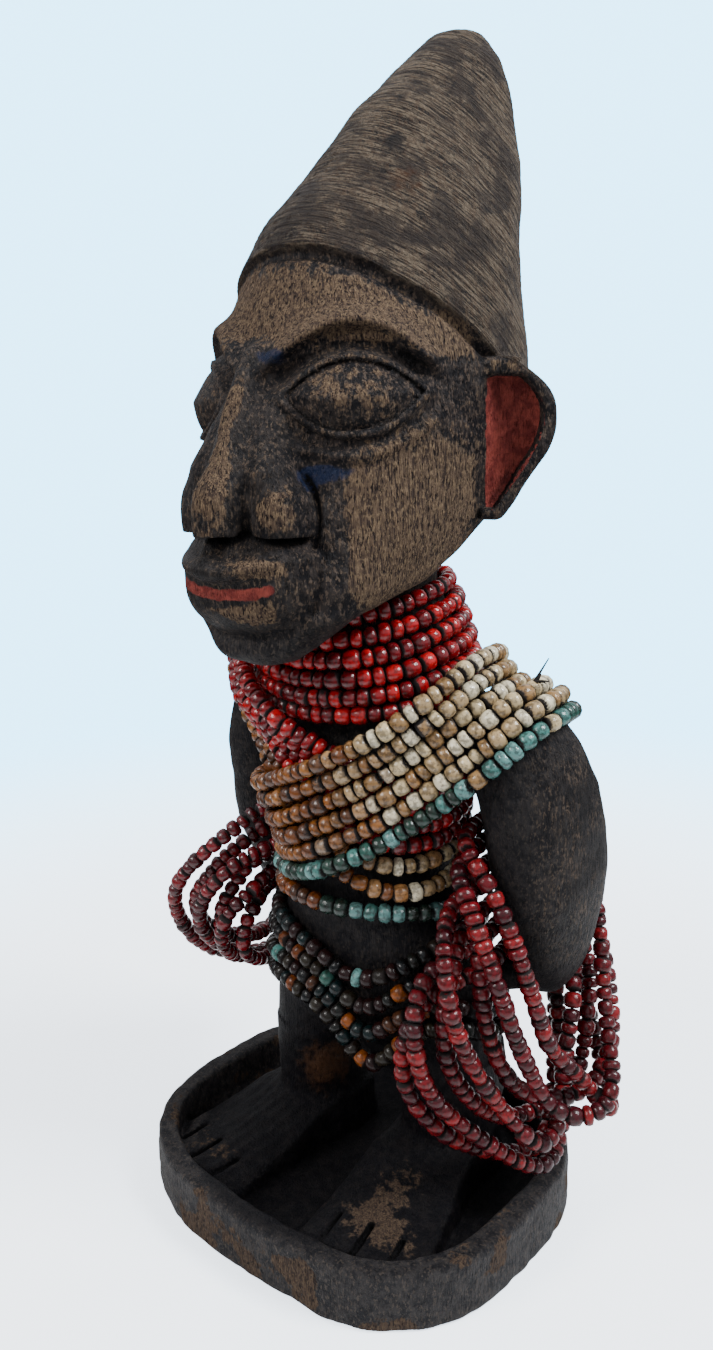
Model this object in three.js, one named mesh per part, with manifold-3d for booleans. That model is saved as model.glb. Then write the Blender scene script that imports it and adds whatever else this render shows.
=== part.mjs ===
// A carved wooden twin figure (ere ibeji) on its dished plinth, dressed in strings of glass beads.
// Millimetres, +Z up. The figure faces -Y and its own left side is +X.
// The origin is the middle of the plinth's underside, on the figure's own axis.
import * as THREE from "three";
import { mergeVertices } from "three/addons/utils/BufferGeometryUtils.js";
import Module from "manifold-3d";

const wasm = await Module();
wasm.setup();

// Driving dimensions of the plinth
const PLINTH_HALF_WIDTH = 48;
const PLINTH_FRONT_DEPTH = 42;
const PLINTH_REAR_DEPTH = 39;
const PLINTH_HEIGHT = 14;
const PLINTH_SQUARENESS = 2.8;
const PLINTH_OFF_AXIS = [-1.5, -3.5];
const RIM_WALL = 4.5;
const RIM_ROUNDING = 1;
const DISH_FLOOR = 5;

// Driving dimension of the figure, from its soles to the tip of its hair
const FIGURE_HEIGHT = 254.3;

// Driving dimensions of the strings of beads, whose beads suit the figure's height
const BEADS_IN_HEIGHT = 63.575;
const BEAD_DIAMETER = FIGURE_HEIGHT / BEADS_IN_HEIGHT;
const STRING_SIDE = BEAD_DIAMETER * 0.8;
const STRING_PITCH = BEAD_DIAMETER * 1.02;
const STRING_CLEARANCE = BEAD_DIAMETER * 0.125;
const NECK_STRINGS = 6;
const SASH_STRINGS = 6;
const HIP_STRINGS = 4;
const OVER_HANDS = 2;
const LEFT_LOOPS = 7;
const RIGHT_LOOPS = 6;
const NECK_STEPS = 12;
const SASH_STEPS = 16;
const HIP_STEPS = 16;
const LOOP_STEPS = 15;

// The figure's proportions, in shares of CARVED_HEIGHT with its soles at zero.
// One row of a form is [height, middle x, middle y, half width, front depth, rear depth, squareness].
const HEAD = [
  [129, 0, -31, 3, 3, 3, 2],
  [130.3, 0, -31, 9, 6, 5, 2.1],
  [135, 0, -28, 15, 9.8, 4.6, 2.2],
  [138.6, 0, -26, 19, 12, 2.8, 2.2],
  [141.5, 0, -19, 22, 18.6, 9, 2.2],
  [144.5, 0, -12, 24.5, 26, 9, 2.3],
  [150, 0, -4, 26.7, 32, 12, 2.4],
  [155, 0, -1, 28, 33.3, 20, 2.4],
  [160, 0, 1, 29, 34.5, 25.5, 2.4],
  [173, 0, 4, 30.2, 35.5, 28.5, 2.4],
  [186, 0, 5.5, 29.4, 34.2, 27.6, 2.3],
  [199, 0, 9.5, 26.5, 33.4, 24, 2.15],
  [211, 0, 16.5, 22.6, 33.8, 20.3, 2.1],
  [223, 0, 25.5, 18, 31.3, 14.3, 2.05],
  [233, 0, 31, 14.2, 27, 10.5, 2],
  [241, 0, 33.8, 11.3, 20, 7.8, 2],
  [247, 0, 35, 8.8, 13.4, 6.4, 2],
  [250.5, 0, 35.4, 6.2, 9.4, 5.1, 2],
  [253, 0, 35.6, 3.9, 5.6, 3.2, 2],
  [254.3, 0, 35.7, 0.8, 1.2, 0.6, 2],
];
const NECK = [
  [105, 0, 1, 20, 14, 16, 2],
  [113, 0, 1, 23, 18, 19, 2],
  [120, 0, 0.5, 23, 19.5, 20, 2],
  [127, 0, 0, 21.5, 19.5, 20, 2],
  [135, 0, 0, 18.5, 18, 18, 2],
  [142, 0, 0, 15.8, 15.8, 15.8, 2],
  [152, 0, 0, 15, 15, 15, 2],
];
const TRUNK = [
  [33, 0, 4, 22, 12, 14, 2.2],
  [41, 0, 4, 26.5, 16, 18, 2.3],
  [51, 0, 4, 27, 17.5, 18, 2.3],
  [61, 0, 3.5, 24, 18.5, 16.5, 2.2],
  [73, 0, 3, 19.5, 19.5, 14, 2.15],
  [85, 0, 3, 18.5, 19.5, 13.5, 2.15],
  [97, 0, 3, 20, 19, 14, 2.2],
  [106, 0, 3.5, 23.5, 19, 15, 2.3],
  [112, 0, 4.5, 30, 18, 14, 2.3],
  [117, 0, 4.5, 28, 16, 13, 2.2],
  [121, 0, 4, 21, 14, 12, 2.1],
  [125, 0, 4, 15, 11, 10, 2],
];
const UPPER_ARM = [
  [50.3, 38.5, 14.5, 0.4, 0.5, 0.5, 2],
  [52, 38.5, 14.5, 3.2, 4.5, 4.5, 2],
  [55, 38.7, 14.7, 5.4, 7, 7, 2],
  [59, 39, 15, 7, 9.4, 9.4, 2.05],
  [67, 39, 15, 8.8, 13, 13, 2.1],
  [78, 39.2, 14.4, 9.7, 16, 16, 2.15],
  [87, 38.4, 13.5, 10.1, 16.5, 16.5, 2.2],
  [97, 37.7, 11.5, 10.2, 15.8, 15.8, 2.2],
  [107, 34.3, 9.5, 11.5, 13.5, 13.5, 2.2],
  [113.5, 32.5, 8, 10, 11.5, 11.5, 2.1],
  [117, 31.5, 7.5, 6.8, 8, 8, 2],
  [119, 31, 7.5, 0.5, 0.5, 0.5, 2],
];
const LEFT_LEG = [
  [-1, 17.5, 7.5, 11, 13, 13, 2.2],
  [11, 17.5, 7.5, 10, 12, 12, 2.2],
  [25, 17.5, 7, 11, 13, 13.5, 2.2],
  [39, 16.5, 6, 11, 13.5, 14, 2.2],
  [51, 15, 5, 8, 12, 12, 2.2],
];
const RIGHT_LEG = [
  [-1, -18.5, 2, 10, 12, 13, 2.2],
  [11, -18.5, 2, 9.3, 11, 12, 2.2],
  [25, -18, 2, 10, 12, 13.5, 2.2],
  [39, -16.5, 3, 11, 13.5, 14, 2.2],
  [51, -15, 4, 8, 12, 12, 2.2],
];
const HAND = { from: [38.5, 14.5, 56.5], to: [24, 9.5, 51], thick: [5, 3.5] };
const HAIRLINE = { height: 189.4, slope: 0.83, lowest: 181, step: 1.5 };
const EYE = { x: 19.8, y: -25.5, z: 179.5, turn: Math.PI / 6, half: 11.5, tall: 6, proud: 3.2, sunk: 3 };
const LID = { half: 13.6, tall: 8, proud: 1.1, sunk: 3 };
const BROW = { height: 181, tall: 12, half: 17.5, thick: 2.4 };
const NOSE = {
  root: [0, -29.5, 186],
  end: [0, -37.5, 161.5],
  thick: [3, 7.2],
  tip: [0, -38, 158.5],
  tipSize: [7.5, 7.5, 7],
  wing: [9.8, -34.5, 159.3],
  wingSize: [5.4, 6, 5.6],
  flankRoot: [5, -31, 176],
  flankEnd: [9.4, -34, 160],
  flankThick: [3, 5.8],
  cut: 154.8,
};
const MUZZLE = { middle: [0, -33, 145], size: [16.2, 10.3, 11.8] };
const UPPER_LIP = { middle: [0, -31.5, 148.4], size: [15.5, 14, 4.5], bow: 0.012 };
const LOWER_LIP = { middle: [0, -32.5, 141.2], size: [12.6, 10, 3.4], bow: 0.008 };
const EAR = { root: [30, 6.5, 170.5], turn: 0.73, half: 15.5, reach: 11.2, thick: 7, rim: 2.6, bowl: 4 };
const FOOT = { toe: 36, heel: 14, height: 8, heelHalf: 9, toeHalf: 15.5, corner: 3 };
const LEFT_FOOT = { x: 17, y: 0, turn: 0.14 };
const RIGHT_FOOT = { x: -20, y: -2, turn: -0.21 };
const TOE_SLOT = { width: 1.6, length: 9, depth: 5 };

// How each family of strings lies, in the same proportions: the lowest string's height on the middle
// line, the spacing in string pitches, and how the heights change across (x) and in depth (y)
const NECK_LAY = { height: 121.3, pitches: 0.955, tilt: 0.24, level: 2 };
const LEFT_SASH_LAY = {
  height: 87.9,
  pitches: 1.142,
  fan: 0.026,
  climb: 0.43,
  shoulder: 21,
  lift: 0.36,
  dip: 0.3,
  rise: 0.1,
};
const RIGHT_SASH_LAY = {
  height: 92.9,
  pitches: 1.31,
  fan: 0.043,
  climb: 0.645,
  dip: 0.36,
  level: 0.02,
  rise: 0.1,
};
const WAIST_LAY = { height: 73, tilt: -0.12, front: -18 };
const HIP_LAY = {
  middle: 11.5,
  height: 51,
  pitches: 1.12,
  fan: 0.035,
  lean: 0.175,
  flare: 0.475,
  point: 5.8,
  width: 4.8,
  deepen: 3,
  reach: 22,
  drop: [-15, 7],
  under: 44.8,
  underPitches: 1.25,
};

// Routes of the first and the last loop on each arm, and how far every other loop stands out
const LOOSE_BELOW = 60;
const LEFT_LOOP_ROUTES = {
  first: [
    [28, 7, 61],
    [28, -8, 62],
    [28.5, -16, 58.5],
    [25.8, -19.5, 51],
    [24.5, -20, 42],
    [25.4, -17.8, 34],
    [28.7, -12.3, 25.5],
    [34, -5, 19.5],
    [39.7, 2.4, 17],
    [44.5, 9.5, 18],
    [46.5, 16, 24.5],
    [46, 21, 36],
    [42, 25.5, 48],
    [37, 29.5, 57],
    [32, 31, 62],
    [28, 22, 61],
  ],
  last: [
    [26.4, 7, 89.5],
    [29.5, -7, 88],
    [37, -5.8, 81],
    [41.2, -6, 74],
    [44.8, -4.6, 65],
    [46.2, -2.3, 56],
    [46.8, 0.6, 47],
    [47, 4, 37.5],
    [47.2, 8.5, 26.5],
    [47, 15, 20],
    [45.8, 21.5, 26.5],
    [43.3, 25.2, 35],
    [39.5, 28, 45],
    [34.5, 32.5, 64],
    [29.5, 31.5, 83],
    [26.4, 22, 89.5],
  ],
  stagger: [-0.8, -2.2, -0.6],
};
const RIGHT_LOOP_ROUTES = {
  first: [
    [-28, 7, 63],
    [-28.5, -8, 63],
    [-30, -14, 58.5],
    [-31, -15, 51],
    [-32, -12, 45.5],
    [-33.5, -4, 41],
    [-35, 6, 39.5],
    [-35.5, 17, 41],
    [-35, 27, 48],
    [-33.5, 33, 57],
    [-31, 34, 62],
    [-29, 31, 64],
    [-28, 22, 64],
  ],
  last: [
    [-26.4, 7, 81],
    [-29.5, -7, 81.5],
    [-37.5, -12.9, 74],
    [-46.5, -16.8, 66.8],
    [-50.5, -16, 60],
    [-52.3, -13, 52.5],
    [-53, -7, 43.5],
    [-52.5, 2, 36.5],
    [-49, 16, 34.5],
    [-45, 27, 42],
    [-40, 34, 56],
    [-31, 33.5, 74],
    [-26.4, 22, 81],
  ],
  stagger: [0.6, -2, -0.8],
};

const CARVED_HEIGHT = HEAD[HEAD.length - 1][0];
const scale = FIGURE_HEIGHT / CARVED_HEIGHT;
const UP = new THREE.Vector3(0, 0, 1);

// Small sums used by the forms
const clamp = (v, low, high) => Math.min(Math.max(v, low), high);
const mix = (a, b, t) => a + (b - a) * t;

// The lesser of two depths, rounded over a width k where they meet.
function blend(a, b, k) {
  const h = clamp(0.5 + (0.5 * (b - a)) / k, 0, 1);
  return b + (a - b) * h - k * h * (1 - h);
}

// Slopes that carry a smooth curve through a form's rows without overshooting them
function slopesOf(rows) {
  const last = rows.length - 1;
  const rise = (j, c) => (rows[j + 1][c] - rows[j][c]) / (rows[j + 1][0] - rows[j][0]);
  return rows.map((row, j) =>
    row.map((_, c) => {
      if (c === 0) return 0;
      if (j === 0) return rise(0, c);
      if (j === last) return rise(last - 1, c);
      const before = rise(j - 1, c);
      const after = rise(j, c);
      return before * after > 0 ? (2 * before * after) / (before + after) : 0;
    }),
  );
}
const forms = [HEAD, NECK, TRUNK, UPPER_ARM, LEFT_LEG, RIGHT_LEG];
const slopes = new Map(forms.map((rows) => [rows, slopesOf(rows)]));

// A form's middle, half width, depths and squareness at a height
function along(rows, height) {
  const last = rows.length - 1;
  const z = clamp(height, rows[0][0], rows[last][0]);
  let i = 0;
  while (i < last - 1 && z >= rows[i + 1][0]) i++;
  const [low, high] = [rows[i], rows[i + 1]];
  const [leaving, arriving] = [slopes.get(rows)[i], slopes.get(rows)[i + 1]];
  const span = high[0] - low[0];
  const t = (z - low[0]) / span;
  const keepLow = (1 + 2 * t) * (1 - t) ** 2;
  const leave = span * t * (1 - t) ** 2;
  const arrive = span * t * t * (t - 1);
  const values = [];
  for (let c = 1; c < low.length; c++) {
    values.push(low[c] * keepLow + high[c] * (1 - keepLow) + leaving[c] * leave + arriving[c] * arrive);
  }
  return values;
}

// How far a point lies outside a form, measured level with the ground
function outside(rows, x, y, z) {
  const [cx, cy, half, front, rear, square] = along(rows, z);
  const reach = Math.hypot(x - cx, y - cy);
  const across = Math.abs(x - cx) / half;
  const depth = Math.abs(y - cy) / (y < cy ? front : rear);
  const share = Math.max((across ** square + depth ** square) ** (1 / square), 1e-6);
  const beyond = Math.max(z - rows[rows.length - 1][0], rows[0][0] - z);
  return Math.max(reach * (1 - 1 / share), beyond);
}

function outsideEllipsoid([cx, cy, cz], [rx, ry, rz], x, y, z) {
  const share = Math.hypot((x - cx) / rx, (y - cy) / ry, (z - cz) / rz) + 1e-9;
  const steep = Math.hypot((x - cx) / rx ** 2, (y - cy) / ry ** 2, (z - cz) / rz ** 2) + 1e-9;
  return (share * (share - 1)) / steep;
}

function outsideRod(from, to, [thickFrom, thickTo], x, y, z) {
  const line = new THREE.Line3(new THREE.Vector3(...from), new THREE.Vector3(...to));
  const point = new THREE.Vector3(x, y, z);
  const t = line.closestPointToPointParameter(point, true);
  return line.at(t, new THREE.Vector3()).distanceTo(point) - mix(thickFrom, thickTo, t);
}

// The head's main mass: skull, hair a step proud of the skin above the hairline, and muzzle
const hairlineAt = (y) => Math.max(HAIRLINE.height - HAIRLINE.slope * y, HAIRLINE.lowest);

function outsideHead(x, y, z) {
  const hair = clamp((z - hairlineAt(y)) / 0.6 + 0.5, 0, 1) * HAIRLINE.step;
  return blend(outside(HEAD, x, y, z) - hair, outsideEllipsoid(MUZZLE.middle, MUZZLE.size, x, y, z), 3);
}

// Solids: a closed geometry becomes a solid that can be joined and cut
function solidOf(geometry) {
  const bare = new THREE.BufferGeometry();
  bare.setAttribute("position", geometry.getAttribute("position"));
  if (geometry.index) bare.setIndex(geometry.index);
  const merged = mergeVertices(bare, 1e-4);
  return new wasm.Manifold(
    new wasm.Mesh({
      numProp: 3,
      vertProperties: new Float32Array(merged.attributes.position.array),
      triVerts: new Uint32Array(merged.index.array),
    }),
  );
}

function geometryOf(solid) {
  const { numVert, numProp, vertProperties, triVerts } = solid.getMesh();
  const points = new Float32Array(numVert * 3);
  for (let i = 0; i < numVert; i++) {
    points.set(vertProperties.subarray(i * numProp, i * numProp + 3), i * 3);
  }
  const geometry = new THREE.BufferGeometry();
  geometry.setAttribute("position", new THREE.BufferAttribute(points, 3));
  geometry.setIndex(new THREE.BufferAttribute(triVerts, 1));
  return geometry;
}

const mirrored = (solid) => solid.mirror([1, 0, 0]);

// The farthest distance from (cx, cy), along a level bearing, at which a form is met
const FAR = 70;
function reachOf(form, cx, cy, z, cos, sin) {
  const at = (r) => form(cx + cos * r, cy + sin * r, z);
  let high = FAR;
  let step = 0.4;
  while (high > step && at(high - step) > 0) {
    high -= step;
    step = Math.max(0.4, 0.5 * at(high));
  }
  let low = Math.max(high - step, 0);
  for (let i = 0; i < 12; i++) {
    const middle = (low + high) / 2;
    if (at(middle) > 0) high = middle;
    else low = middle;
  }
  return low;
}

// A bearing of 0 looks to the front; the columns spread evenly or stand closer on the face.
const evenly = (u) => (2 * u - 1) * Math.PI;
const closerInFront = (u) => Math.PI * (0.6 * (2 * u - 1) + 0.4 * (2 * u - 1) ** 3);

// Wraps a sphere's net of rings and columns onto a form, around the form's own upright axis.
function carve({ form, columns, rings, heightAt, bearingAt, axisAt }) {
  const geometry = new THREE.SphereGeometry(1, columns, rings);
  const place = geometry.getAttribute("position");
  const uv = geometry.getAttribute("uv");
  for (let i = 0; i < place.count; i++) {
    const ring = Math.round(uv.getY(i) * rings);
    const bearing = bearingAt(uv.getX(i));
    const z = heightAt(ring / rings, bearing);
    const [cx, cy] = axisAt(z);
    const cos = Math.sin(bearing);
    const sin = -Math.cos(bearing);
    const r = ring === 0 || ring === rings ? 0 : reachOf(form, cx, cy, z, cos, sin);
    place.setXYZ(i, cx + cos * r, cy + sin * r, z);
  }
  return solidOf(geometry);
}

// Rings bunch towards both ends, so that round ends stay round.
const bunched = (v) => (1 - Math.cos(Math.PI * v)) / 2;

function lofted(rows, columns, rings, spacing = (v) => v) {
  const low = rows[0][0];
  const high = rows[rows.length - 1][0];
  return carve({
    form: (x, y, z) => outside(rows, x, y, z),
    columns,
    rings,
    heightAt: (v) => mix(low + 0.01, high - 0.01, spacing(v)),
    bearingAt: evenly,
    axisAt: (z) => along(rows, z),
  });
}

const HEAD_RINGS = 22;
const FACE_RINGS = 13;

// The face's rings rise to the hairline, two rings make its step, and the rest close over the hair.
function headHeight(v, bearing) {
  const ring = Math.round(v * HEAD_RINGS);
  const line = hairlineAt(5 - 27 * Math.cos(bearing));
  if (ring <= FACE_RINGS) return mix(HEAD[0][0] + 0.2, line - 0.35, (ring / FACE_RINGS) ** 1.15);
  const t = (ring - FACE_RINGS - 1) / (HEAD_RINGS - FACE_RINGS - 1);
  return mix(line + 0.35, CARVED_HEIGHT, Math.sin((t * Math.PI) / 2) ** 1.15);
}

function skull() {
  return carve({
    form: outsideHead,
    columns: 26,
    rings: HEAD_RINGS,
    heightAt: headHeight,
    bearingAt: closerInFront,
    axisAt: (z) => along(HEAD, z),
  });
}

function ellipsoid(middle, size, columns, rings) {
  const ball = new THREE.SphereGeometry(1, columns, rings).rotateX(Math.PI / 2);
  return solidOf(ball.scale(...size).translate(...middle));
}

// A wedge of a nose with sloping sides and round wings, cut off flat below
function nose() {
  const wing = ellipsoid(NOSE.wing, NOSE.wingSize, 10, 6);
  const flank = rod({ from: NOSE.flankRoot, to: NOSE.flankEnd, thick: NOSE.flankThick }, 8);
  const whole = rod({ from: NOSE.root, to: NOSE.end, thick: NOSE.thick }, 8)
    .add(ellipsoid(NOSE.tip, NOSE.tipSize, 10, 6))
    .add(flank)
    .add(mirrored(flank))
    .add(wing)
    .add(mirrored(wing));
  const below = new THREE.BoxGeometry(60, 60, 20).translate(0, -30, NOSE.cut - 10);
  return whole.subtract(solidOf(below));
}

// An almond that swells from the cheek: pointed at both corners, turned to face out and forward
function almond({ half, tall, proud, sunk }, columns, rings) {
  const geometry = new THREE.SphereGeometry(1, columns, rings);
  const place = geometry.getAttribute("position");
  for (let i = 0; i < place.count; i++) {
    const t = clamp(place.getX(i), -1, 1);
    place.setY(i, place.getY(i) * Math.sqrt(1 - t * t * 0.96));
  }
  geometry.scale(half, tall, proud + sunk);
  geometry.translate(0, 0, -sunk);
  const across = new THREE.Vector3(Math.cos(EYE.turn), Math.sin(EYE.turn), 0);
  const facing = new THREE.Vector3().crossVectors(across, UP);
  geometry.applyMatrix4(new THREE.Matrix4().makeBasis(across, UP, facing).setPosition(EYE.x, EYE.y, EYE.z));
  return solidOf(geometry);
}

// The two directions across a closed path at each of its points, the first one nearest to `outwards`
function framesOf(path, outwards) {
  const count = path.length;
  return path.map((_, i) => {
    const run = path[(i + 1) % count].clone().sub(path[(i + count - 1) % count]).normalize();
    const out = outwards[i].clone().addScaledVector(run, -outwards[i].dot(run)).normalize();
    return { out, across: new THREE.Vector3().crossVectors(run, out) };
  });
}

const cornersOf = (point, { out, across }, side) =>
  [[1, 1], [-1, 1], [-1, -1], [1, -1]].map(([a, b]) =>
    point.clone().addScaledVector(out, (a * side) / 2).addScaledVector(across, (b * side) / 2),
  );

// A square tube around a closed path
function sweepClosed(path, frames, side) {
  const corners = path.flatMap((point, i) => cornersOf(point, frames[i], side));
  const points = corners.flatMap((corner) => corner.toArray());
  const faces = [];
  for (let i = 0; i < path.length; i++) {
    const next = (i + 1) % path.length;
    for (let j = 0; j < 4; j++) {
      const [p, q] = [i * 4 + j, i * 4 + ((j + 1) % 4)];
      const [r, s] = [next * 4 + j, next * 4 + ((j + 1) % 4)];
      faces.push(p, q, s, p, s, r);
    }
  }
  const geometry = new THREE.BufferGeometry();
  geometry.setAttribute("position", new THREE.Float32BufferAttribute(points, 3));
  geometry.setIndex(faces);
  return solidOf(geometry);
}

// A raised brow: a ridge that follows the skull in an arch over the eye
function brow() {
  const arch = [];
  const steps = 6;
  for (let i = 0; i <= steps; i++) {
    const t = (2 * i) / steps - 1;
    const height = BROW.height + BROW.tall * (1 - t * t);
    const x = EYE.x + t * BROW.half * Math.cos(EYE.turn);
    const bearing = Math.atan2(x, 27);
    const [cx, cy] = along(HEAD, height);
    const r = reachOf(outsideHead, cx, cy, height, Math.sin(bearing), -Math.cos(bearing)) - 0.5;
    arch.push(new THREE.Vector3(cx + Math.sin(bearing) * r, cy - Math.cos(bearing) * r, height));
  }
  const section = new THREE.Shape();
  section.absarc(0, 0, BROW.thick, 0, 2 * Math.PI);
  const path = new THREE.CatmullRomCurve3(arch);
  return solidOf(new THREE.ExtrudeGeometry(section, { steps, extrudePath: path, curveSegments: 3 }));
}

function lip({ middle, size, bow }) {
  const geometry = new THREE.SphereGeometry(1, 14, 6).rotateX(Math.PI / 2).scale(...size);
  const place = geometry.getAttribute("position");
  for (let i = 0; i < place.count; i++) place.setZ(i, place.getZ(i) + bow * place.getX(i) ** 2);
  geometry.translate(...middle);
  return solidOf(geometry);
}

// An ear: a leaf that stands out and back from the head, hollowed towards the front
function ear() {
  const outline = new THREE.Shape();
  const steps = 8;
  const edge = [];
  for (let i = 1; i < steps; i++) {
    const q = i / steps;
    edge.push(new THREE.Vector2(EAR.reach * Math.sin(Math.PI * q ** 1.3) ** 0.6, (2 * q - 1) * EAR.half));
  }
  outline.moveTo(-4, -EAR.half);
  outline.lineTo(0.5, -EAR.half);
  for (const point of edge) outline.lineTo(point.x, point.y);
  outline.lineTo(3, EAR.half);
  outline.lineTo(-4, EAR.half);
  outline.closePath();
  const leaf = new THREE.ExtrudeGeometry(outline, { depth: EAR.thick, bevelEnabled: false });
  leaf.translate(0, 0, -EAR.thick / 2);
  const bowl = new THREE.SphereGeometry(1, 8, 5);
  bowl.scale(EAR.reach / 2 + 1, EAR.half - EAR.rim - 2, EAR.bowl);
  bowl.translate(EAR.reach / 2 - EAR.rim, 1.6, EAR.thick / 2 + 0.4);
  // The leaf's x runs outwards, its y upwards and its z towards the front.
  const out = new THREE.Vector3(Math.cos(EAR.turn), Math.sin(EAR.turn), 0);
  const facing = new THREE.Vector3().crossVectors(out, UP);
  const stand = new THREE.Matrix4().makeBasis(out, UP, facing).setPosition(...EAR.root);
  return solidOf(leaf.applyMatrix4(stand)).subtract(solidOf(bowl.applyMatrix4(stand)));
}

// A rod with round ends, from one point to another
function rod({ from, to, thick }, columns) {
  const start = new THREE.Vector3(...from);
  const along3 = new THREE.Vector3(...to).sub(start);
  const profile = [];
  const quarter = 2;
  for (let i = 0; i <= 2 * quarter + 1; i++) {
    const far = i > quarter;
    const turn = ((far ? 2 * quarter + 1 - i : i) / quarter) * (Math.PI / 2);
    const radius = thick[far ? 1 : 0];
    const height = far ? along3.length() + radius * Math.cos(turn) : -radius * Math.cos(turn);
    profile.push(new THREE.Vector2(radius * Math.sin(turn), height));
  }
  const geometry = new THREE.LatheGeometry(profile, columns);
  const axis = new THREE.Vector3(0, 1, 0);
  const lean = new THREE.Quaternion().setFromUnitVectors(axis, along3.clone().normalize());
  return solidOf(geometry.applyQuaternion(lean).translate(...from));
}

function foot({ x, y, turn }) {
  const { toe, heel, height, heelHalf, toeHalf, corner } = FOOT;
  const sole = new THREE.Shape();
  sole.moveTo(corner - heelHalf, heel);
  sole.quadraticCurveTo(-heelHalf, heel, -heelHalf, heel - corner);
  sole.lineTo(-toeHalf, corner - toe);
  sole.quadraticCurveTo(-toeHalf, -toe, corner - toeHalf, -toe);
  sole.lineTo(toeHalf - corner, -toe);
  sole.quadraticCurveTo(toeHalf, -toe, toeHalf, corner - toe);
  sole.lineTo(heelHalf, heel - corner);
  sole.quadraticCurveTo(heelHalf, heel, heelHalf - corner, heel);
  const block = { depth: height + 1, bevelEnabled: false, curveSegments: 3 };
  let whole = solidOf(new THREE.ExtrudeGeometry(sole, block).translate(0, 0, -1));
  for (const share of [-0.5, 0, 0.5]) {
    const slot = new THREE.BoxGeometry(TOE_SLOT.width, TOE_SLOT.length * 2, TOE_SLOT.depth * 2);
    whole = whole.subtract(solidOf(slot.translate(share * toeHalf, -toe, height)));
  }
  return whole.rotate([0, 0, THREE.MathUtils.radToDeg(turn)]).translate([x, y, 0]);
}

// The plinth: a dished slab whose plan is a rounded square, made as a profile turned once
function plinthReach(angle) {
  const across = Math.abs(Math.cos(angle)) / PLINTH_HALF_WIDTH;
  const depth = Math.abs(Math.sin(angle)) / (Math.sin(angle) < 0 ? PLINTH_FRONT_DEPTH : PLINTH_REAR_DEPTH);
  return (across ** PLINTH_SQUARENESS + depth ** PLINTH_SQUARENESS) ** (-1 / PLINTH_SQUARENESS);
}

function plinth() {
  // Each row is [distance in from the outer edge, height]; no distance means the middle line.
  const profile = [
    [null, 0],
    [RIM_ROUNDING, 0],
    [0, RIM_ROUNDING],
    [0, PLINTH_HEIGHT - RIM_ROUNDING],
    [RIM_ROUNDING, PLINTH_HEIGHT],
    [RIM_WALL, PLINTH_HEIGHT],
    [RIM_WALL + RIM_ROUNDING, DISH_FLOOR],
    [null, DISH_FLOOR],
  ];
  const columns = 32;
  const rows = profile.map(([inset, height]) => new THREE.Vector2(inset === null ? 0 : 1, height));
  const geometry = new THREE.LatheGeometry(rows, columns);
  const place = geometry.getAttribute("position");
  for (let i = 0; i < place.count; i++) {
    const [inset, height] = profile[i % profile.length];
    const angle = (2 * Math.PI * (Math.floor(i / profile.length) % columns)) / columns;
    const r = inset === null ? 0 : plinthReach(angle) - inset;
    const [x, y] = [PLINTH_OFF_AXIS[0] + r * Math.cos(angle), PLINTH_OFF_AXIS[1] + r * Math.sin(angle)];
    place.setXYZ(i, x, y, height);
  }
  return solidOf(geometry);
}

function carvedFigure() {
  const pairs = [
    lofted(UPPER_ARM, 10, 9, bunched),
    rod(HAND, 6),
    ear(),
    almond(LID, 10, 6),
    almond(EYE, 10, 6),
    brow(),
  ];
  const singles = [
    nose(),
    lip(UPPER_LIP),
    lip(LOWER_LIP),
    lofted(TRUNK, 18, 13),
    lofted(NECK, 16, 8),
    lofted(LEFT_LEG, 12, 6),
    lofted(RIGHT_LEG, 12, 6),
    foot(LEFT_FOOT),
    foot(RIGHT_FOOT),
  ];
  const pieces = [...singles, ...pairs, ...pairs.map(mirrored)];
  const body = pieces.reduce((whole, piece) => whole.add(piece), skull());
  return plinth().add(body.scale([scale, scale, scale]).translate([0, 0, DISH_FLOOR]));
}

// Strings of beads. A form's true depth is its level depth over its steepness.
function depthOf(form) {
  const e = 0.2;
  return (x, y, z) => {
    const dx = form(x + e, y, z) - form(x - e, y, z);
    const dy = form(x, y + e, z) - form(x, y - e, z);
    const dz = form(x, y, z + e) - form(x, y, z - e);
    return (form(x, y, z) * 2 * e) / Math.max(Math.hypot(dx, dy, dz), e);
  };
}

// What the strings lie on, in the plinth's frame
const lifted = (form) => depthOf((x, y, z) => scale * form(x / scale, y / scale, (z - DISH_FLOOR) / scale));
const torso = lifted((x, y, z) => blend(outside(TRUNK, x, y, z), outside(NECK, x, y, z), 4));
const leftArm = lifted((x, y, z) => outside(UPPER_ARM, x, y, z));
const rightArm = (x, y, z) => leftArm(-x, y, z);
const legs = lifted((x, y, z) => Math.min(outside(LEFT_LEG, x, y, z), outside(RIGHT_LEG, x, y, z)));
const union = (...forms) => (x, y, z) => Math.min(...forms.map((form) => form(x, y, z)));

// Strings that are already in place, as the distance from their nearest straight run, with room for
// the corners of their square section
const LAID_RADIUS = STRING_SIDE * 0.64;
function laid(strings) {
  const runs = strings.flatMap(({ path }) =>
    path.map((point, i) => new THREE.Line3(point, path[(i + 1) % path.length])),
  );
  const point = new THREE.Vector3();
  const near = new THREE.Vector3();
  return (x, y, z) => {
    point.set(x, y, z);
    let least = FAR;
    for (const run of runs) {
      run.closestPointToPoint(point, true, near);
      least = Math.min(least, near.distanceTo(point));
    }
    return least - LAID_RADIUS;
  };
}

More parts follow.
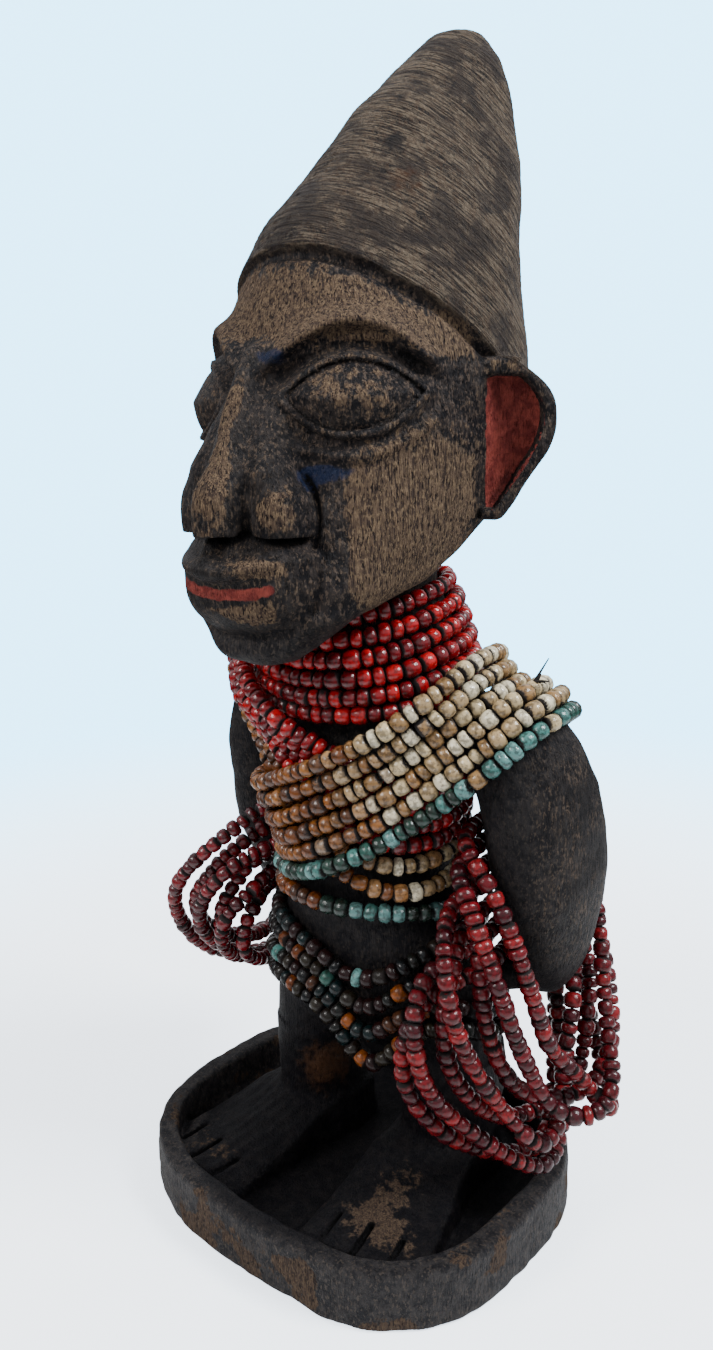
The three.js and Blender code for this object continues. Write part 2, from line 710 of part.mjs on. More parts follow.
// The outer corners of a set of points in plan, in order
function hullOf(points) {
  const sorted = [...points].sort((p, q) => p.x - q.x || p.y - q.y);
  const turn = (o, p, q) => (p.x - o.x) * (q.y - o.y) - (p.y - o.y) * (q.x - o.x);
  const chain = (list) => {
    const kept = [];
    for (const point of list) {
      while (kept.length > 1 && turn(kept[kept.length - 2], kept[kept.length - 1], point) <= 0) kept.pop();
      kept.push(point);
    }
    return kept.slice(0, -1);
  };
  return [...chain(sorted), ...chain(sorted.reverse())];
}

// A taut string around the body: the tightest loop at the given heights that clears what it lies on
function tautString(under, heightAt, steps) {
  const lift = STRING_CLEARANCE + STRING_SIDE / 2;
  const points = [];
  const bearings = 90;
  for (let i = 0; i < bearings; i++) {
    const turn = (2 * Math.PI * i) / bearings;
    const [cos, sin] = [Math.cos(turn), Math.sin(turn)];
    const clear = (r) => under(cos * r, sin * r, heightAt(cos * r, sin * r)) - lift;
    let r = 55;
    while (r > 5 && clear(r) > 0.05) r -= Math.max(0.1, 0.6 * clear(r));
    points.push(new THREE.Vector2(cos * r, sin * r));
  }
  const hull = hullOf(points).map(({ x, y }) => new THREE.Vector3(x, y, heightAt(x, y)));
  const around = new THREE.CurvePath();
  hull.forEach((point, i) => around.add(new THREE.LineCurve3(point, hull[(i + 1) % hull.length])));
  const path = around.getSpacedPoints(steps).slice(0, steps);
  spreadUntilClear(path, under, heightAt);
  return { path, solid: sweepClosed(path, slabFrames(path, heightAt), STRING_SIDE) };
}

// A string's flanks lie in the slab of its own heights, so strings side by side stay parallel.
function slabFrames(path, heightAt) {
  const e = 0.5;
  const slab = path.map(({ x, y }) => {
    const slopeX = (heightAt(x + e, y) - heightAt(x - e, y)) / (2 * e);
    const slopeY = (heightAt(x, y + e) - heightAt(x, y - e)) / (2 * e);
    return new THREE.Vector3(-slopeX, -slopeY, 1);
  });
  return framesOf(path, slab);
}

// Moves a closed path's corners out until its straight runs stand clear as well
function spreadUntilClear(path, under, heightAt) {
  const parts = 4;
  for (let round = 0; round < 14; round++) {
    const frames = slabFrames(path, heightAt);
    const moves = path.map(() => 0);
    path.forEach((start, i) => {
      const next = (i + 1) % path.length;
      const ends = [cornersOf(start, frames[i], STRING_SIDE), cornersOf(path[next], frames[next], STRING_SIDE)];
      for (let j = 0; j < parts; j++) {
        const share = j / parts;
        const depths = ends[0].map((corner, c) => {
          const { x, y, z } = corner.clone().lerp(ends[1][c], share);
          return under(x, y, z);
        });
        const short = STRING_CLEARANCE - Math.min(...depths);
        moves[i] = Math.max(moves[i], short * (1 - share));
        moves[next] = Math.max(moves[next], short * share);
      }
    });
    path.forEach((point, i) => {
      const far = Math.hypot(point.x, point.y);
      point.multiplyScalar((far + moves[i]) / far);
      point.z = heightAt(point.x, point.y);
    });
  }
}

const ontoPlinth = ([x, y, z]) => new THREE.Vector3(x * scale, y * scale, z * scale + DISH_FLOOR);
const range = (count) => Array.from({ length: count }, (_, i) => i);

// Each family of strings gives its heights in the figure's proportions.
function heights(count, heightAt) {
  return range(count).map((i) => (x, y) => heightAt(i, x / scale, y / scale) * scale + DISH_FLOOR);
}
const pitch = STRING_PITCH / scale;

function neckHeight(i, x, y) {
  const { height, pitches, tilt, level } = NECK_LAY;
  return height + pitches * pitch * i + tilt * Math.min(y, level);
}

// The left sash fans out towards the right hip and climbs more steeply over the left shoulder.
function leftSashHeight(i, x, y) {
  const { height, pitches, fan, climb, shoulder, lift, dip, rise } = LEFT_SASH_LAY;
  const spacing = pitches * pitch + fan * Math.min(x, 0);
  const steeper = lift * Math.max(x - shoulder, 0);
  return height + spacing * i + climb * x + steeper + dip * Math.min(y, 0) + rise * Math.max(y, 0);
}

function rightSashHeight(i, x, y) {
  const { height, pitches, fan, climb, dip, level, rise } = RIGHT_SASH_LAY;
  const spacing = pitches * pitch - fan * Math.max(x, 0);
  return height + spacing * i - climb * x + (dip - level * i) * Math.min(y, 0) + rise * Math.max(y, 0);
}

const waistHeight = (i, x, y) => WAIST_LAY.height + WAIST_LAY.tilt * (y - WAIST_LAY.front);

// The hip strings hang in a point under the belly. The lower ones drop at the sides to pass under the
// hands, and the upper ones pass over them.
function hipHeight(i, x, y) {
  const { middle, height, pitches, fan, lean, flare, point, width, deepen, reach, drop } = HIP_LAY;
  const side = Math.max(x - middle, -reach);
  const away = Math.abs(side);
  const behind = THREE.MathUtils.smoothstep(y, ...drop);
  const near = (1 - behind) * Math.exp(-away / width);
  const hung = height + lean * side + flare * away + point * (1 - near);
  const spacing = pitches * pitch + fan * away + deepen * near;
  const low = HIP_LAY.under - HIP_LAY.underPitches * pitch * (i - OVER_HANDS);
  return i < OVER_HANDS ? hung - spacing * i : mix(hung - spacing * i, low, behind);
}

// Loops that hang on an arm: each runs through the gap beside the trunk, down in front, under the
// arm and up behind it. Their routes pass evenly from the first loop's to the last one's, and every
// other loop stands out a little in front and below.
function loopRoute({ first, last, stagger }, i, count) {
  const share = i / (count - 1);
  const out = i % 2 ? stagger : [0, 0, 0];
  return first.map((point, j) =>
    point.map((value, axis) => {
      const placed = mix(value, last[j][axis], share);
      return point[2] < LOOSE_BELOW ? placed + out[axis] : placed;
    }),
  );
}

const pathOf = (points, steps) =>
  new THREE.CatmullRomCurve3(points.map(ontoPlinth), true).getSpacedPoints(steps).slice(0, steps);

// Loose loops push each other apart and away from what they hang on and from the plinth's rim.
function settle(paths, under) {
  const apart = STRING_SIDE * 1.5;
  const lift = STRING_SIDE * 0.72 + STRING_CLEARANCE;
  const rounds = 90;
  const runsOf = (path) => path.map((point, i) => new THREE.Line3(point, path[(i + 1) % path.length]));
  const shares = [0, 1 / 3, 2 / 3];
  const move = (run, share, push, amount) => {
    run.start.addScaledVector(push, amount * (1 - share));
    run.end.addScaledVector(push, amount * share);
  };
  const all = paths.map(runsOf);
  for (let round = 0; round < rounds; round++) {
    for (const runs of all) {
      for (const run of runs) {
        for (const share of shares) {
          const point = run.at(share, new THREE.Vector3());
          for (const other of all.filter((candidate) => candidate !== runs).flat()) {
            const t = other.closestPointToPointParameter(point, true);
            const push = point.clone().sub(other.at(t, new THREE.Vector3()));
            const short = apart - push.length();
            if (short <= 0) continue;
            push.setLength(short / 2);
            move(run, share, push, 1);
            move(other, t, push, -1);
          }
          const short = lift - under(point.x, point.y, point.z);
          if (short > 0) move(run, share, steepest(under, point), Math.min(short, 1));
        }
      }
    }
  }
  return paths;
}

// The direction in which a form is left soonest
function steepest(form, { x, y, z }) {
  const e = 0.3;
  const dx = form(x + e, y, z) - form(x - e, y, z);
  const dy = form(x, y + e, z) - form(x, y - e, z);
  const dz = form(x, y, z + e) - form(x, y, z - e);
  return new THREE.Vector3(dx, dy, dz).normalize();
}

// A loose loop's ring lies mostly front to back, so its section turns little to the side.
function looseLoop(path) {
  const middle = path.reduce((sum, point) => sum.add(point), new THREE.Vector3()).divideScalar(path.length);
  const sideways = new THREE.Vector3(0.3, 1, 1);
  const outwards = path.map((point) => point.clone().sub(middle).multiply(sideways));
  return sweepClosed(path, framesOf(path, outwards), STRING_SIDE);
}

// Finishes
const finish = (color, roughness) => new THREE.MeshStandardMaterial({ color, roughness, metalness: 0 });
const wood = finish(0x43362b, 0.7);
const red = finish(0x9b1f24, 0.3);
const cream = finish(0xc9bb9a, 0.35);
const ochre = finish(0xa8773f, 0.35);
const turquoise = finish(0x5f9c92, 0.3);
const grey = finish(0x474a46, 0.35);

const group = new THREE.Group();
function show(name, solid, material) {
  const mesh = new THREE.Mesh(geometryOf(solid), material);
  mesh.name = name;
  group.add(mesh);
}

show("carved_figure", carvedFigure(), wood);

const neckStrings = heights(NECK_STRINGS, neckHeight).map((at) => tautString(torso, at, NECK_STEPS));
const [waist] = heights(1, waistHeight).map((at) => tautString(torso, at, NECK_STEPS));
const onRightShoulder = union(torso, rightArm, laid([...neckStrings, waist]));
const sash = (heightAt, under) =>
  heights(SASH_STRINGS, heightAt).map((at) => tautString(under, at, SASH_STEPS));
const rightSash = sash(rightSashHeight, onRightShoulder);
const onLeftShoulder = union(torso, leftArm, laid([...neckStrings, waist, ...rightSash]));
const leftSash = sash(leftSashHeight, onLeftShoulder);
const hips = union(torso, legs);
const hipStrings = heights(HIP_STRINGS, hipHeight).map((at) => tautString(hips, at, HIP_STEPS));

neckStrings.forEach(({ solid }, i) => show(`neck_string_${i + 1}`, solid, red));
rightSash.forEach(({ solid }, i) => show(`right_shoulder_string_${i + 1}`, solid, i < 2 ? ochre : red));
leftSash.forEach(({ solid }, i) => show(`left_shoulder_string_${i + 1}`, solid, i === 0 ? turquoise : cream));
show("waist_string", waist.solid, ochre);
hipStrings.forEach(({ solid }, i) => show(`hip_string_${i + 1}`, solid, grey));
const onBody = laid([waist, ...rightSash, ...leftSash, ...hipStrings]);
const hand = lifted((x, y, z) => outsideRod(HAND.from, HAND.to, HAND.thick, Math.abs(x), y, z));
const aboveRim = (x, y, z) => z - PLINTH_HEIGHT;
const hangingOn = union(torso, leftArm, rightArm, hand, onBody, aboveRim);
function hang(side, routes, count) {
  const paths = range(count).map((i) => pathOf(loopRoute(routes, i, count), LOOP_STEPS));
  settle(paths, hangingOn).forEach((path, i) => show(`${side}_arm_loop_${i + 1}`, looseLoop(path), red));
}
hang("left", LEFT_LOOP_ROUTES, LEFT_LOOPS);
hang("right", RIGHT_LOOP_ROUTES, RIGHT_LOOPS);

export default group;
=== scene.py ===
"""Looks of a carved wooden twin figure dressed in strings of glass beads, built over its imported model.

The carving's lengths are millimetres and its heights are above the figure's soles, as in the model's source.
"""

import math

import bpy
import numpy as np
from mathutils import Matrix, Vector
from mathutils.kdtree import KDTree


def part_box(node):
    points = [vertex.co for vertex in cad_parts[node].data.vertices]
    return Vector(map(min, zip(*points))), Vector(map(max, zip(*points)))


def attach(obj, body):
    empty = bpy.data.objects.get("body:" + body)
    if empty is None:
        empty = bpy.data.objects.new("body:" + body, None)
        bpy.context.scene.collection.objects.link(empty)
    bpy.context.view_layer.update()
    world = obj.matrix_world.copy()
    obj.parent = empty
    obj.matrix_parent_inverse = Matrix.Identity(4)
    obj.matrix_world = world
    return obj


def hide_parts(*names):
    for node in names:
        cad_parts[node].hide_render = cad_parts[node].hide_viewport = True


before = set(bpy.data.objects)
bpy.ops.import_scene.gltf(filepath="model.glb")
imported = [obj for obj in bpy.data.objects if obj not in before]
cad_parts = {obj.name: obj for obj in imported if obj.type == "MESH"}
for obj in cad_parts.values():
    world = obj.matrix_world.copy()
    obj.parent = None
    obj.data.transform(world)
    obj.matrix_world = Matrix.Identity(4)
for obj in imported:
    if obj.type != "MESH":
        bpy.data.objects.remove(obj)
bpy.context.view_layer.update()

# Places and sizes in the frame
MODEL_HEIGHT = 259.3
DISH_FLOOR = 5.0
ABOVE_GROUND = np.array([0, 0, DISH_FLOOR])
FIGURE_LOW, FIGURE_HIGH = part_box("carved_figure")
METRES = (FIGURE_HIGH.z - FIGURE_LOW.z) / MODEL_HEIGHT
FIGURE_TOP = MODEL_HEIGHT - DISH_FLOOR

# The camera, fitted to the photograph's frame of 713 by 1350 pixels; lengths are millimetres
PHOTO_WIDTH = 713
PHOTO_HEIGHT = 1350
FOCAL_PIXELS = 1093.06
AXIS_PIXEL = 336.04
CAMERA_REACH = 234.14
CAMERA_HEIGHT = 182.75
CAMERA_AZIMUTH = math.radians(40.453)
CAMERA_YAW = math.radians(1.59)
CAMERA_PITCH = math.radians(13.822)
CAMERA_ROLL = math.radians(-1.699)
SENSOR = 36.0

# Fineness of the carved surface; FAR is the field's value where it isn't worked out
GRID_LOW = (-58, -52, -8)
GRID_HIGH = (56, 60, 258)
GRID_STEP = 0.62
COARSE = 4
CARVED_TRIANGLES = 190000
FAR = 90.0

# Rows of a form: height, middle x, middle y, half width, front depth, rear depth, squareness
HEAD = [
    (129, 0, -31, 3, 3, 3, 2),
    (130.3, 0, -31, 9, 6, 5, 2.1),
    (135, 0, -28, 15, 9.8, 4.6, 2.2),
    (138.6, 0, -26, 19, 12, 2.8, 2.2),
    (141.5, 0, -19, 22, 18.6, 9, 2.2),
    (144.5, 0, -12, 24.5, 26, 9, 2.3),
    (150, 0, -4, 26.7, 32, 12, 2.4),
    (155, 0, -1, 28, 33.3, 20, 2.4),
    (160, 0, 1, 29, 34.5, 25.5, 2.4),
    (173, 0, 4, 30.2, 35.5, 28.5, 2.4),
    (186, 0, 5.5, 29.4, 34.2, 27.6, 2.3),
    (199, 0, 9.5, 26.5, 33.4, 24, 2.15),
    (211, 0, 16.5, 22.6, 33.8, 20.3, 2.1),
    (223, 0, 25.5, 18, 31.3, 14.3, 2.05),
    (233, 0, 31, 14.2, 27, 10.5, 2),
    (241, 0, 33.8, 11.3, 20, 7.8, 2),
    (247, 0, 35, 8.8, 13.4, 6.4, 2),
    (250.5, 0, 35.4, 6.2, 9.4, 5.1, 2),
    (253, 0, 35.6, 3.9, 5.6, 3.2, 2),
    (254.3, 0, 35.7, 0.8, 1.2, 0.6, 2),
]
NECK = [
    (105, 0, 1, 20, 14, 16, 2),
    (113, 0, 1, 23, 18, 19, 2),
    (120, 0, 0.5, 23, 19.5, 20, 2),
    (127, 0, 0, 21.5, 19.5, 20, 2),
    (135, 0, 0, 18.5, 18, 18, 2),
    (142, 0, 0, 15.8, 15.8, 15.8, 2),
    (152, 0, 0, 15, 15, 15, 2),
]
TRUNK = [
    (33, 0, 4, 22, 12, 14, 2.2),
    (41, 0, 4, 26.5, 16, 18, 2.3),
    (51, 0, 4, 27, 17.5, 18, 2.3),
    (61, 0, 3.5, 24, 18.5, 16.5, 2.2),
    (73, 0, 3, 19.5, 19.5, 14, 2.15),
    (85, 0, 3, 18.5, 19.5, 13.5, 2.15),
    (97, 0, 3, 20, 19, 14, 2.2),
    (106, 0, 3.5, 23.5, 19, 15, 2.3),
    (112, 0, 4.5, 30, 18, 14, 2.3),
    (117, 0, 4.5, 28, 16, 13, 2.2),
    (121, 0, 4, 21, 14, 12, 2.1),
    (125, 0, 4, 15, 11, 10, 2),
]
UPPER_ARM = [
    (50.3, 38.5, 14.5, 0.4, 0.5, 0.5, 2),
    (52, 38.5, 14.5, 3.2, 4.5, 4.5, 2),
    (55, 38.7, 14.7, 5.4, 7, 7, 2),
    (59, 39, 15, 7, 9.4, 9.4, 2.05),
    (67, 39, 15, 8.8, 13, 13, 2.1),
    (78, 39.2, 14.4, 9.7, 16, 16, 2.15),
    (87, 38.4, 13.5, 10.1, 16.5, 16.5, 2.2),
    (97, 37.7, 11.5, 10.2, 15.8, 15.8, 2.2),
    (107, 34.3, 9.5, 11.5, 13.5, 13.5, 2.2),
    (113.5, 32.5, 8, 10, 11.5, 11.5, 2.1),
    (117, 31.5, 7.5, 6.8, 8, 8, 2),
    (119, 31, 7.5, 0.5, 0.5, 0.5, 2),
]
LEFT_LEG = [
    (-1, 17.5, 7.5, 11, 13, 13, 2.2),
    (11, 17.5, 7.5, 10, 12, 12, 2.2),
    (25, 17.5, 7, 11, 13, 13.5, 2.2),
    (39, 16.5, 6, 11, 13.5, 14, 2.2),
    (51, 15, 5, 8, 12, 12, 2.2),
]
RIGHT_LEG = [
    (-1, -18.5, 2, 10, 12, 13, 2.2),
    (11, -18.5, 2, 9.3, 11, 12, 2.2),
    (25, -18, 2, 10, 12, 13.5, 2.2),
    (39, -16.5, 3, 11, 13.5, 14, 2.2),
    (51, -15, 4, 8, 12, 12, 2.2),
]

# Features of the head
HEAD_TOP = 254.5
HAIRLINE_HEIGHT = 189.4
HAIRLINE_SLOPE = 0.83
HAIRLINE_LOWEST = 181.0
HAIR_STEP = 1.5
COMB_SLOPE = 0.9
COMB_PITCH = 2.1
EYE_MIDDLE = (19.8, -25.5, 179.5)
EYE_TURN = math.radians(30)
EYE_HALF = 12.2
EYE_TALL = 6.4
EYE_BULGE = 3.0
LID_THICK = 1.1
SOCKET_HALF = 19.5
SOCKET_UP = 13.0
SOCKET_DOWN = 10.4
SOCKET_DEPTH = 2.0
BROW_THICK = 2.6
EAR_ROOT = (30.0, 6.5, 170.5)
EAR_TURN = 0.73
EAR_HALF = 15.5
EAR_REACH = 11.2
EAR_THICK = 7.0
EAR_RIM = 2.9

# Nose and mouth. A rod is its two ends and its thickness at each. A block or an ellipsoid is its middle
# and its half sizes, and a block's last number is the higher the squarer it is.
NOSE_BRIDGE = ((0, -30.2, 187), (0, -40.6, 162), 2.0, 3.8)
NOSE_FLANK = ((4.6, -29.8, 178), (7.4, -33.8, 165.5), 2.8, 5.4)
NOSE_TIP = ((0, -38.4, 157.6), (5.0, 7.0, 8.2), 2.6)
NOSE_WING = ((9.4, -33.6, 157.8), (5.7, 6.4, 8.6), 2.4)
NOSE_UNDERSIDE = 155.0
NOSTRIL = ((4.8, -38.5, 153.8), (2.4, 3.0, 2.2))
NOSE_NOTCH = ((1.2, -45.2, 165.6), (1.1, 1.6, 0.8))
MOUTH_HEIGHT = 144.6
MOUTH_BOW = 0.010
MOUTH_MOUND = ((0, -32.4, 146.4), (15.4, 10.2, 11.0), 2.5)
UPPER_LIP = ((0, -31.5, 148.3), (15.6, 14.1, 4.2))
LOWER_LIP = ((0, -31.9, 141.0), (12.6, 10.4, 3.3))
LIP_GROOVE_RISES = (149, 151)

# Hands, feet and plinth; each foot is its middle and its turn
HAND = ((38.5, 14.5, 56.5), (24.0, 9.5, 51.0), 5, 3.5)
FEET = ((17.0, 0.0, 0.14), (-20.0, -2.0, -0.21))
FOOT_HALF_LENGTH = 25
HEEL_HALF = 9
TOES_WIDER = 6.5
TOE_HEIGHT = 8
ANKLE_RISE = 4
TOES_SINK = 2.2
TOE_PITCH = 7.75
TOE_SLOT_HALF = 0.55
TOE_SLOT_FROM = 26
GOUGE_PITCH = 3.1
PLINTH_MIDDLE = (-1.5, -3.5)
PLINTH_HALF_WIDTH = 48.0
PLINTH_FRONT = 42.0
PLINTH_REAR = 39.0
PLINTH_SQUARENESS = 2.8
PLINTH_RIM = 9.0
RIM_WALL = 5.0


# Small sums used by the forms
def smooth_step(v, low, high):
    t = np.clip((v - low) / (high - low), 0, 1)
    return t * t * (3 - 2 * t)


def smooth_min(a, b, width):
    h = np.clip(0.5 + 0.5 * (b - a) / width, 0, 1)
    return b + (a - b) * h - width * h * (1 - h)


def smooth_max(a, b, width):
    return -smooth_min(-a, -b, width)


def ridge(v, width):
    return np.exp(-((v / width) ** 2))


def turned(dx, dy, turn):
    """A place along and across a line that is turned from the x axis."""
    return dx * math.cos(turn) + dy * math.sin(turn), dx * math.sin(turn) - dy * math.cos(turn)


def unit(vectors):
    """Vectors, one to a row, brought to a length of 1."""
    return vectors / np.maximum(np.linalg.norm(vectors, axis=1), 1e-6)[:, None]


def level_gap(dx, dy, half, front, rear, square):
    """How far a point lies outside a squarish oval, measured level with the ground."""
    across = np.abs(dx) / half
    depth = np.abs(dy) / np.where(dy < 0, front, rear)
    share = np.maximum((across**square + depth**square) ** (1 / square), 1e-6)
    return np.hypot(dx, dy) * (1 - 1 / share)


# Noise that is the same on each run
def lumps(points, size, seed):
    """Smooth noise from about -1 to 1, with lumps about `size` across."""
    place = points / size + seed * np.array([17.3, 5.9, 31.7])
    cell = np.floor(place).astype(np.int64)
    share = place - cell
    share = share * share * (3 - 2 * share)
    total = np.zeros(len(points))
    for corner in np.ndindex(2, 2, 2):
        at = cell + np.array(corner)
        mixed = (at[:, 0] * 73856093) ^ (at[:, 1] * 19349663) ^ (at[:, 2] * 83492791)
        mixed = (mixed * 2654435761) & 0xFFFFFFFF
        mixed = ((mixed ^ (mixed >> 15)) * 2246822519) & 0xFFFFFFFF
        value = ((mixed >> 8) & 0xFFFF) / 32767.5 - 1
        weight = np.prod(np.where(np.array(corner) == 1, share, 1 - share), axis=1)
        total += value * weight
    return total


def form(rows, table_step=0.25):
    """A field from rows: how far a point lies outside the form, measured level with the ground."""
    rows = np.array(rows, float)
    heights, values = rows[:, 0], rows[:, 1:]
    rise = np.diff(values, axis=0) / np.diff(heights)[:, None]
    before, after = rise[:-1], rise[1:]
    agree = before * after > 0
    slopes = np.vstack([rise[:1], np.zeros_like(before), rise[-1:]])
    slopes[1:-1] = np.where(agree, 2 * before * after / np.where(agree, before + after, 1), 0)

    levels = np.arange(heights[0], heights[-1] + table_step, table_step)
    low = np.clip(np.searchsorted(heights, levels, side="right") - 1, 0, len(heights) - 2)
    span = (heights[low + 1] - heights[low])[:, None]
    t = np.clip((levels - heights[low])[:, None] / span, 0, 1)
    keep = (1 + 2 * t) * (1 - t) ** 2
    table = values[low] * keep + values[low + 1] * (1 - keep)
    table += span * t * (1 - t) * (slopes[low] * (1 - t) - slopes[low + 1] * t)

    def outside(x, y, z):
        middle_x, middle_y, *sizes = (np.interp(z, levels, column) for column in table.T)
        level = level_gap(x - middle_x, y - middle_y, *sizes)
        return np.maximum(level, np.maximum(z - heights[-1], heights[0] - z))

    return outside


head_mass = form(HEAD)
neck_mass = form(NECK)
trunk_mass = form(TRUNK)
arm_mass = form(UPPER_ARM)
left_leg_mass = form(LEFT_LEG)
right_leg_mass = form(RIGHT_LEG)


def ellipsoid(middle, size, x, y, z):
    dx, dy, dz = x - middle[0], y - middle[1], z - middle[2]
    share = np.sqrt((dx / size[0]) ** 2 + (dy / size[1]) ** 2 + (dz / size[2]) ** 2) + 1e-9
    steep = np.sqrt((dx / size[0] ** 2) ** 2 + (dy / size[1] ** 2) ** 2 + (dz / size[2] ** 2) ** 2)
    return share * (share - 1) / (steep + 1e-9)


def rod(start, end, thick_start, thick_end, x, y, z):
    start, end = np.array(start), np.array(end)
    run = end - start
    share = ((x - start[0]) * run[0] + (y - start[1]) * run[1] + (z - start[2]) * run[2]) / (run @ run)
    t = np.clip(share, 0, 1)
    gap = np.sqrt(
        (x - start[0] - t * run[0]) ** 2 + (y - start[1] - t * run[1]) ** 2 + (z - start[2] - t * run[2]) ** 2
    )
    return gap - thick_start - (thick_end - thick_start) * t


def block(middle, size, power, x, y, z):
    """An ellipsoid with flatter sides, the flatter the higher its power."""
    dx, dy, dz = x - middle[0], y - middle[1], z - middle[2]
    share = (
        np.abs(dx / size[0]) ** power + np.abs(dy / size[1]) ** power + np.abs(dz / size[2]) ** power
    ) ** (1 / power) + 1e-9
    return np.sqrt(dx**2 + dy**2 + dz**2) * (1 - 1 / share)


def hairline(y):
    return np.maximum(HAIRLINE_HEIGHT - HAIRLINE_SLOPE * y, HAIRLINE_LOWEST)


def almond(t, h, half, up, down):
    """Distance outside an almond with pointed corners, and how deep inside it a point is, from 0 to 1."""
    tall = np.where(h > 0, up, down)
    w = np.abs(h) / tall + (t / half) ** 2 - 1
    return w / np.hypot(1 / tall, 2 * t / half**2), np.clip(-w, 0, 1)


def eye_relief(side, y, z):
    """Depth added to the face by a socket, the lids' rim, a fold above it, the brow and the bulging eye."""
    t, _ = turned(side - EYE_MIDDLE[0], y - EYE_MIDDLE[1], EYE_TURN)
    h = z - EYE_MIDDLE[2]
    eye, inside = almond(t, h, EYE_HALF, EYE_TALL, EYE_TALL)
    socket, _ = almond(t + 0.5, h, SOCKET_HALF, SOCKET_UP, SOCKET_DOWN)
    lid = LID_THICK * smooth_step(eye, -0.1, 0.4) * (1 - smooth_step(eye, 1.2, 1.8))
    mound = 2.0 * ridge(np.maximum(eye - 1.3, 0), 2.5)
    fold = 1.0 * ridge(eye - 4.2, 0.8) * smooth_step(h, 0, 3)
    crease = -0.6 * ridge(eye - 2.7, 0.6) * smooth_step(h, -1, 2)
    dome = EYE_BULGE * inside**0.7
    sunk = -SOCKET_DEPTH * (1 - smooth_step(socket, -2.0, 0.4))
    brow = BROW_THICK * ridge(socket - 0.6, 2.0) * smooth_step(h, 2, 7)
    cheek_line = 0.3 * ridge(socket - 0.8, 0.9) * smooth_step(-h, 2, 6)
    cheek_cut = -0.2 * ridge(socket - 2.0, 0.7) * smooth_step(-h, 2, 6)
    facing = smooth_step(-y, 7, 14)
    return facing * (lid + mound + fold + crease + dome + sunk + brow + cheek_line + cheek_cut)


def nose(x, y, z):
    """A ridge with sloping sides and a blunt tip, with round wings set off by a groove, cut flat below."""
    side = np.abs(x)
    bridge = smooth_min(rod(*NOSE_BRIDGE, x, y, z), rod(*NOSE_FLANK, side, y, z), 4.0)
    wing = block(*NOSE_WING, side, y, z)
    whole = smooth_min(smooth_min(bridge, block(*NOSE_TIP, x, y, z), 3.0), wing, 1.6)
    whole = smooth_max(whole, NOSE_UNDERSIDE - z, 0.3)
    whole = smooth_max(whole, -ellipsoid(*NOSTRIL, side, y, z), 0.5)
    return smooth_max(whole, -ellipsoid(*NOSE_NOTCH, x, y, z), 0.3), wing


def muzzle(x, y, z):
    """The mouth's mound with its lips; the groove above the upper lip and the parting below it are cut in."""
    mouth = MOUTH_HEIGHT + MOUTH_BOW * x * x
    rise = mouth - MOUTH_HEIGHT
    above_lip = smooth_step(z, *LIP_GROOVE_RISES)
    groove = 1.1 * ridge(x, 1.7) * above_lip - 0.5 * ridge(np.abs(x) - 3.2, 1.1) * above_lip
    mound = block(*MOUTH_MOUND, x, y, z) + groove
    lips = smooth_min(ellipsoid(*UPPER_LIP, x, y, z - rise), ellipsoid(*LOWER_LIP, x, y, z - 0.7 * rise), 0.5)
    return smooth_min(mound, lips + 1.0 * ridge(z - mouth, 0.9), 0.7)


def ear_plan(x, y, z):
    """A point's place out along an ear, towards its front and above its middle, and the ear's reach there."""
    out, fore = turned(np.abs(x) - EAR_ROOT[0], y - EAR_ROOT[1], EAR_TURN)
    h = z - EAR_ROOT[2]
    q = np.clip((h + EAR_HALF) / (2 * EAR_HALF), 0.001, 0.999)
    edge = EAR_REACH * np.sin(np.pi * q**1.5) ** 0.7
    return out, fore, h, np.maximum(edge, 4 * smooth_step(q, 0.86, 1))


def ear(x, y, z):
    """A leaf that stands out and back, with a thick rim around a hollow that faces forward."""
    out, fore, h, edge = ear_plan(x, y, z)
    plan = smooth_max((out - edge) * 0.8, np.abs(h) - EAR_HALF, 1.0)
    leaf = smooth_max(smooth_max(plan, np.abs(fore) - EAR_THICK / 2, 1.4), -4 - out, 0.5)
    bowl_plan = np.maximum((out - edge + EAR_RIM) * 0.8, np.abs(h + 0.6) - EAR_HALF + EAR_RIM)
    floor = -fore - 0.4 + 0.045 * (out - 4) ** 2
    bowl = smooth_max(bowl_plan, floor, 1.2)
    return smooth_max(leaf, -bowl, 0.7)


def head(x, y, z):
    place = np.stack([x, y, z], 1)
    x = x + 0.45 * lumps(place, 9.0, 11)
    z = z + 0.45 * lumps(place, 8.0, 12)
    nose_form, wing = nose(x, y, z)
    mouth_form = muzzle(x, y, z)
    hair = HAIR_STEP * smooth_step(z - hairline(y), -0.45, 0.45)
    under_hair = -0.8 * ridge(z - hairline(y) + 1.6, 1.1)
    cheek_fold = -0.8 * ridge(wing - 0.5, 0.7) * (1 - smooth_step(z, 163, 168))
    mouth_fold = -0.7 * ridge(mouth_form - 0.8, 0.8) * (y < -20)
    relief = eye_relief(np.abs(x), y, z) + hair + under_hair + cheek_fold + mouth_fold
    skull = smooth_max(head_mass(x, y, z) - relief, z - HEAD_TOP, 1.6)
    whole = smooth_min(skull, mouth_form, 1.0)
    whole = smooth_min(whole, nose_form, 0.6 + 3.4 * smooth_step(z, 164, 171))
    return smooth_min(whole, ear(x, y, z), 0.8)


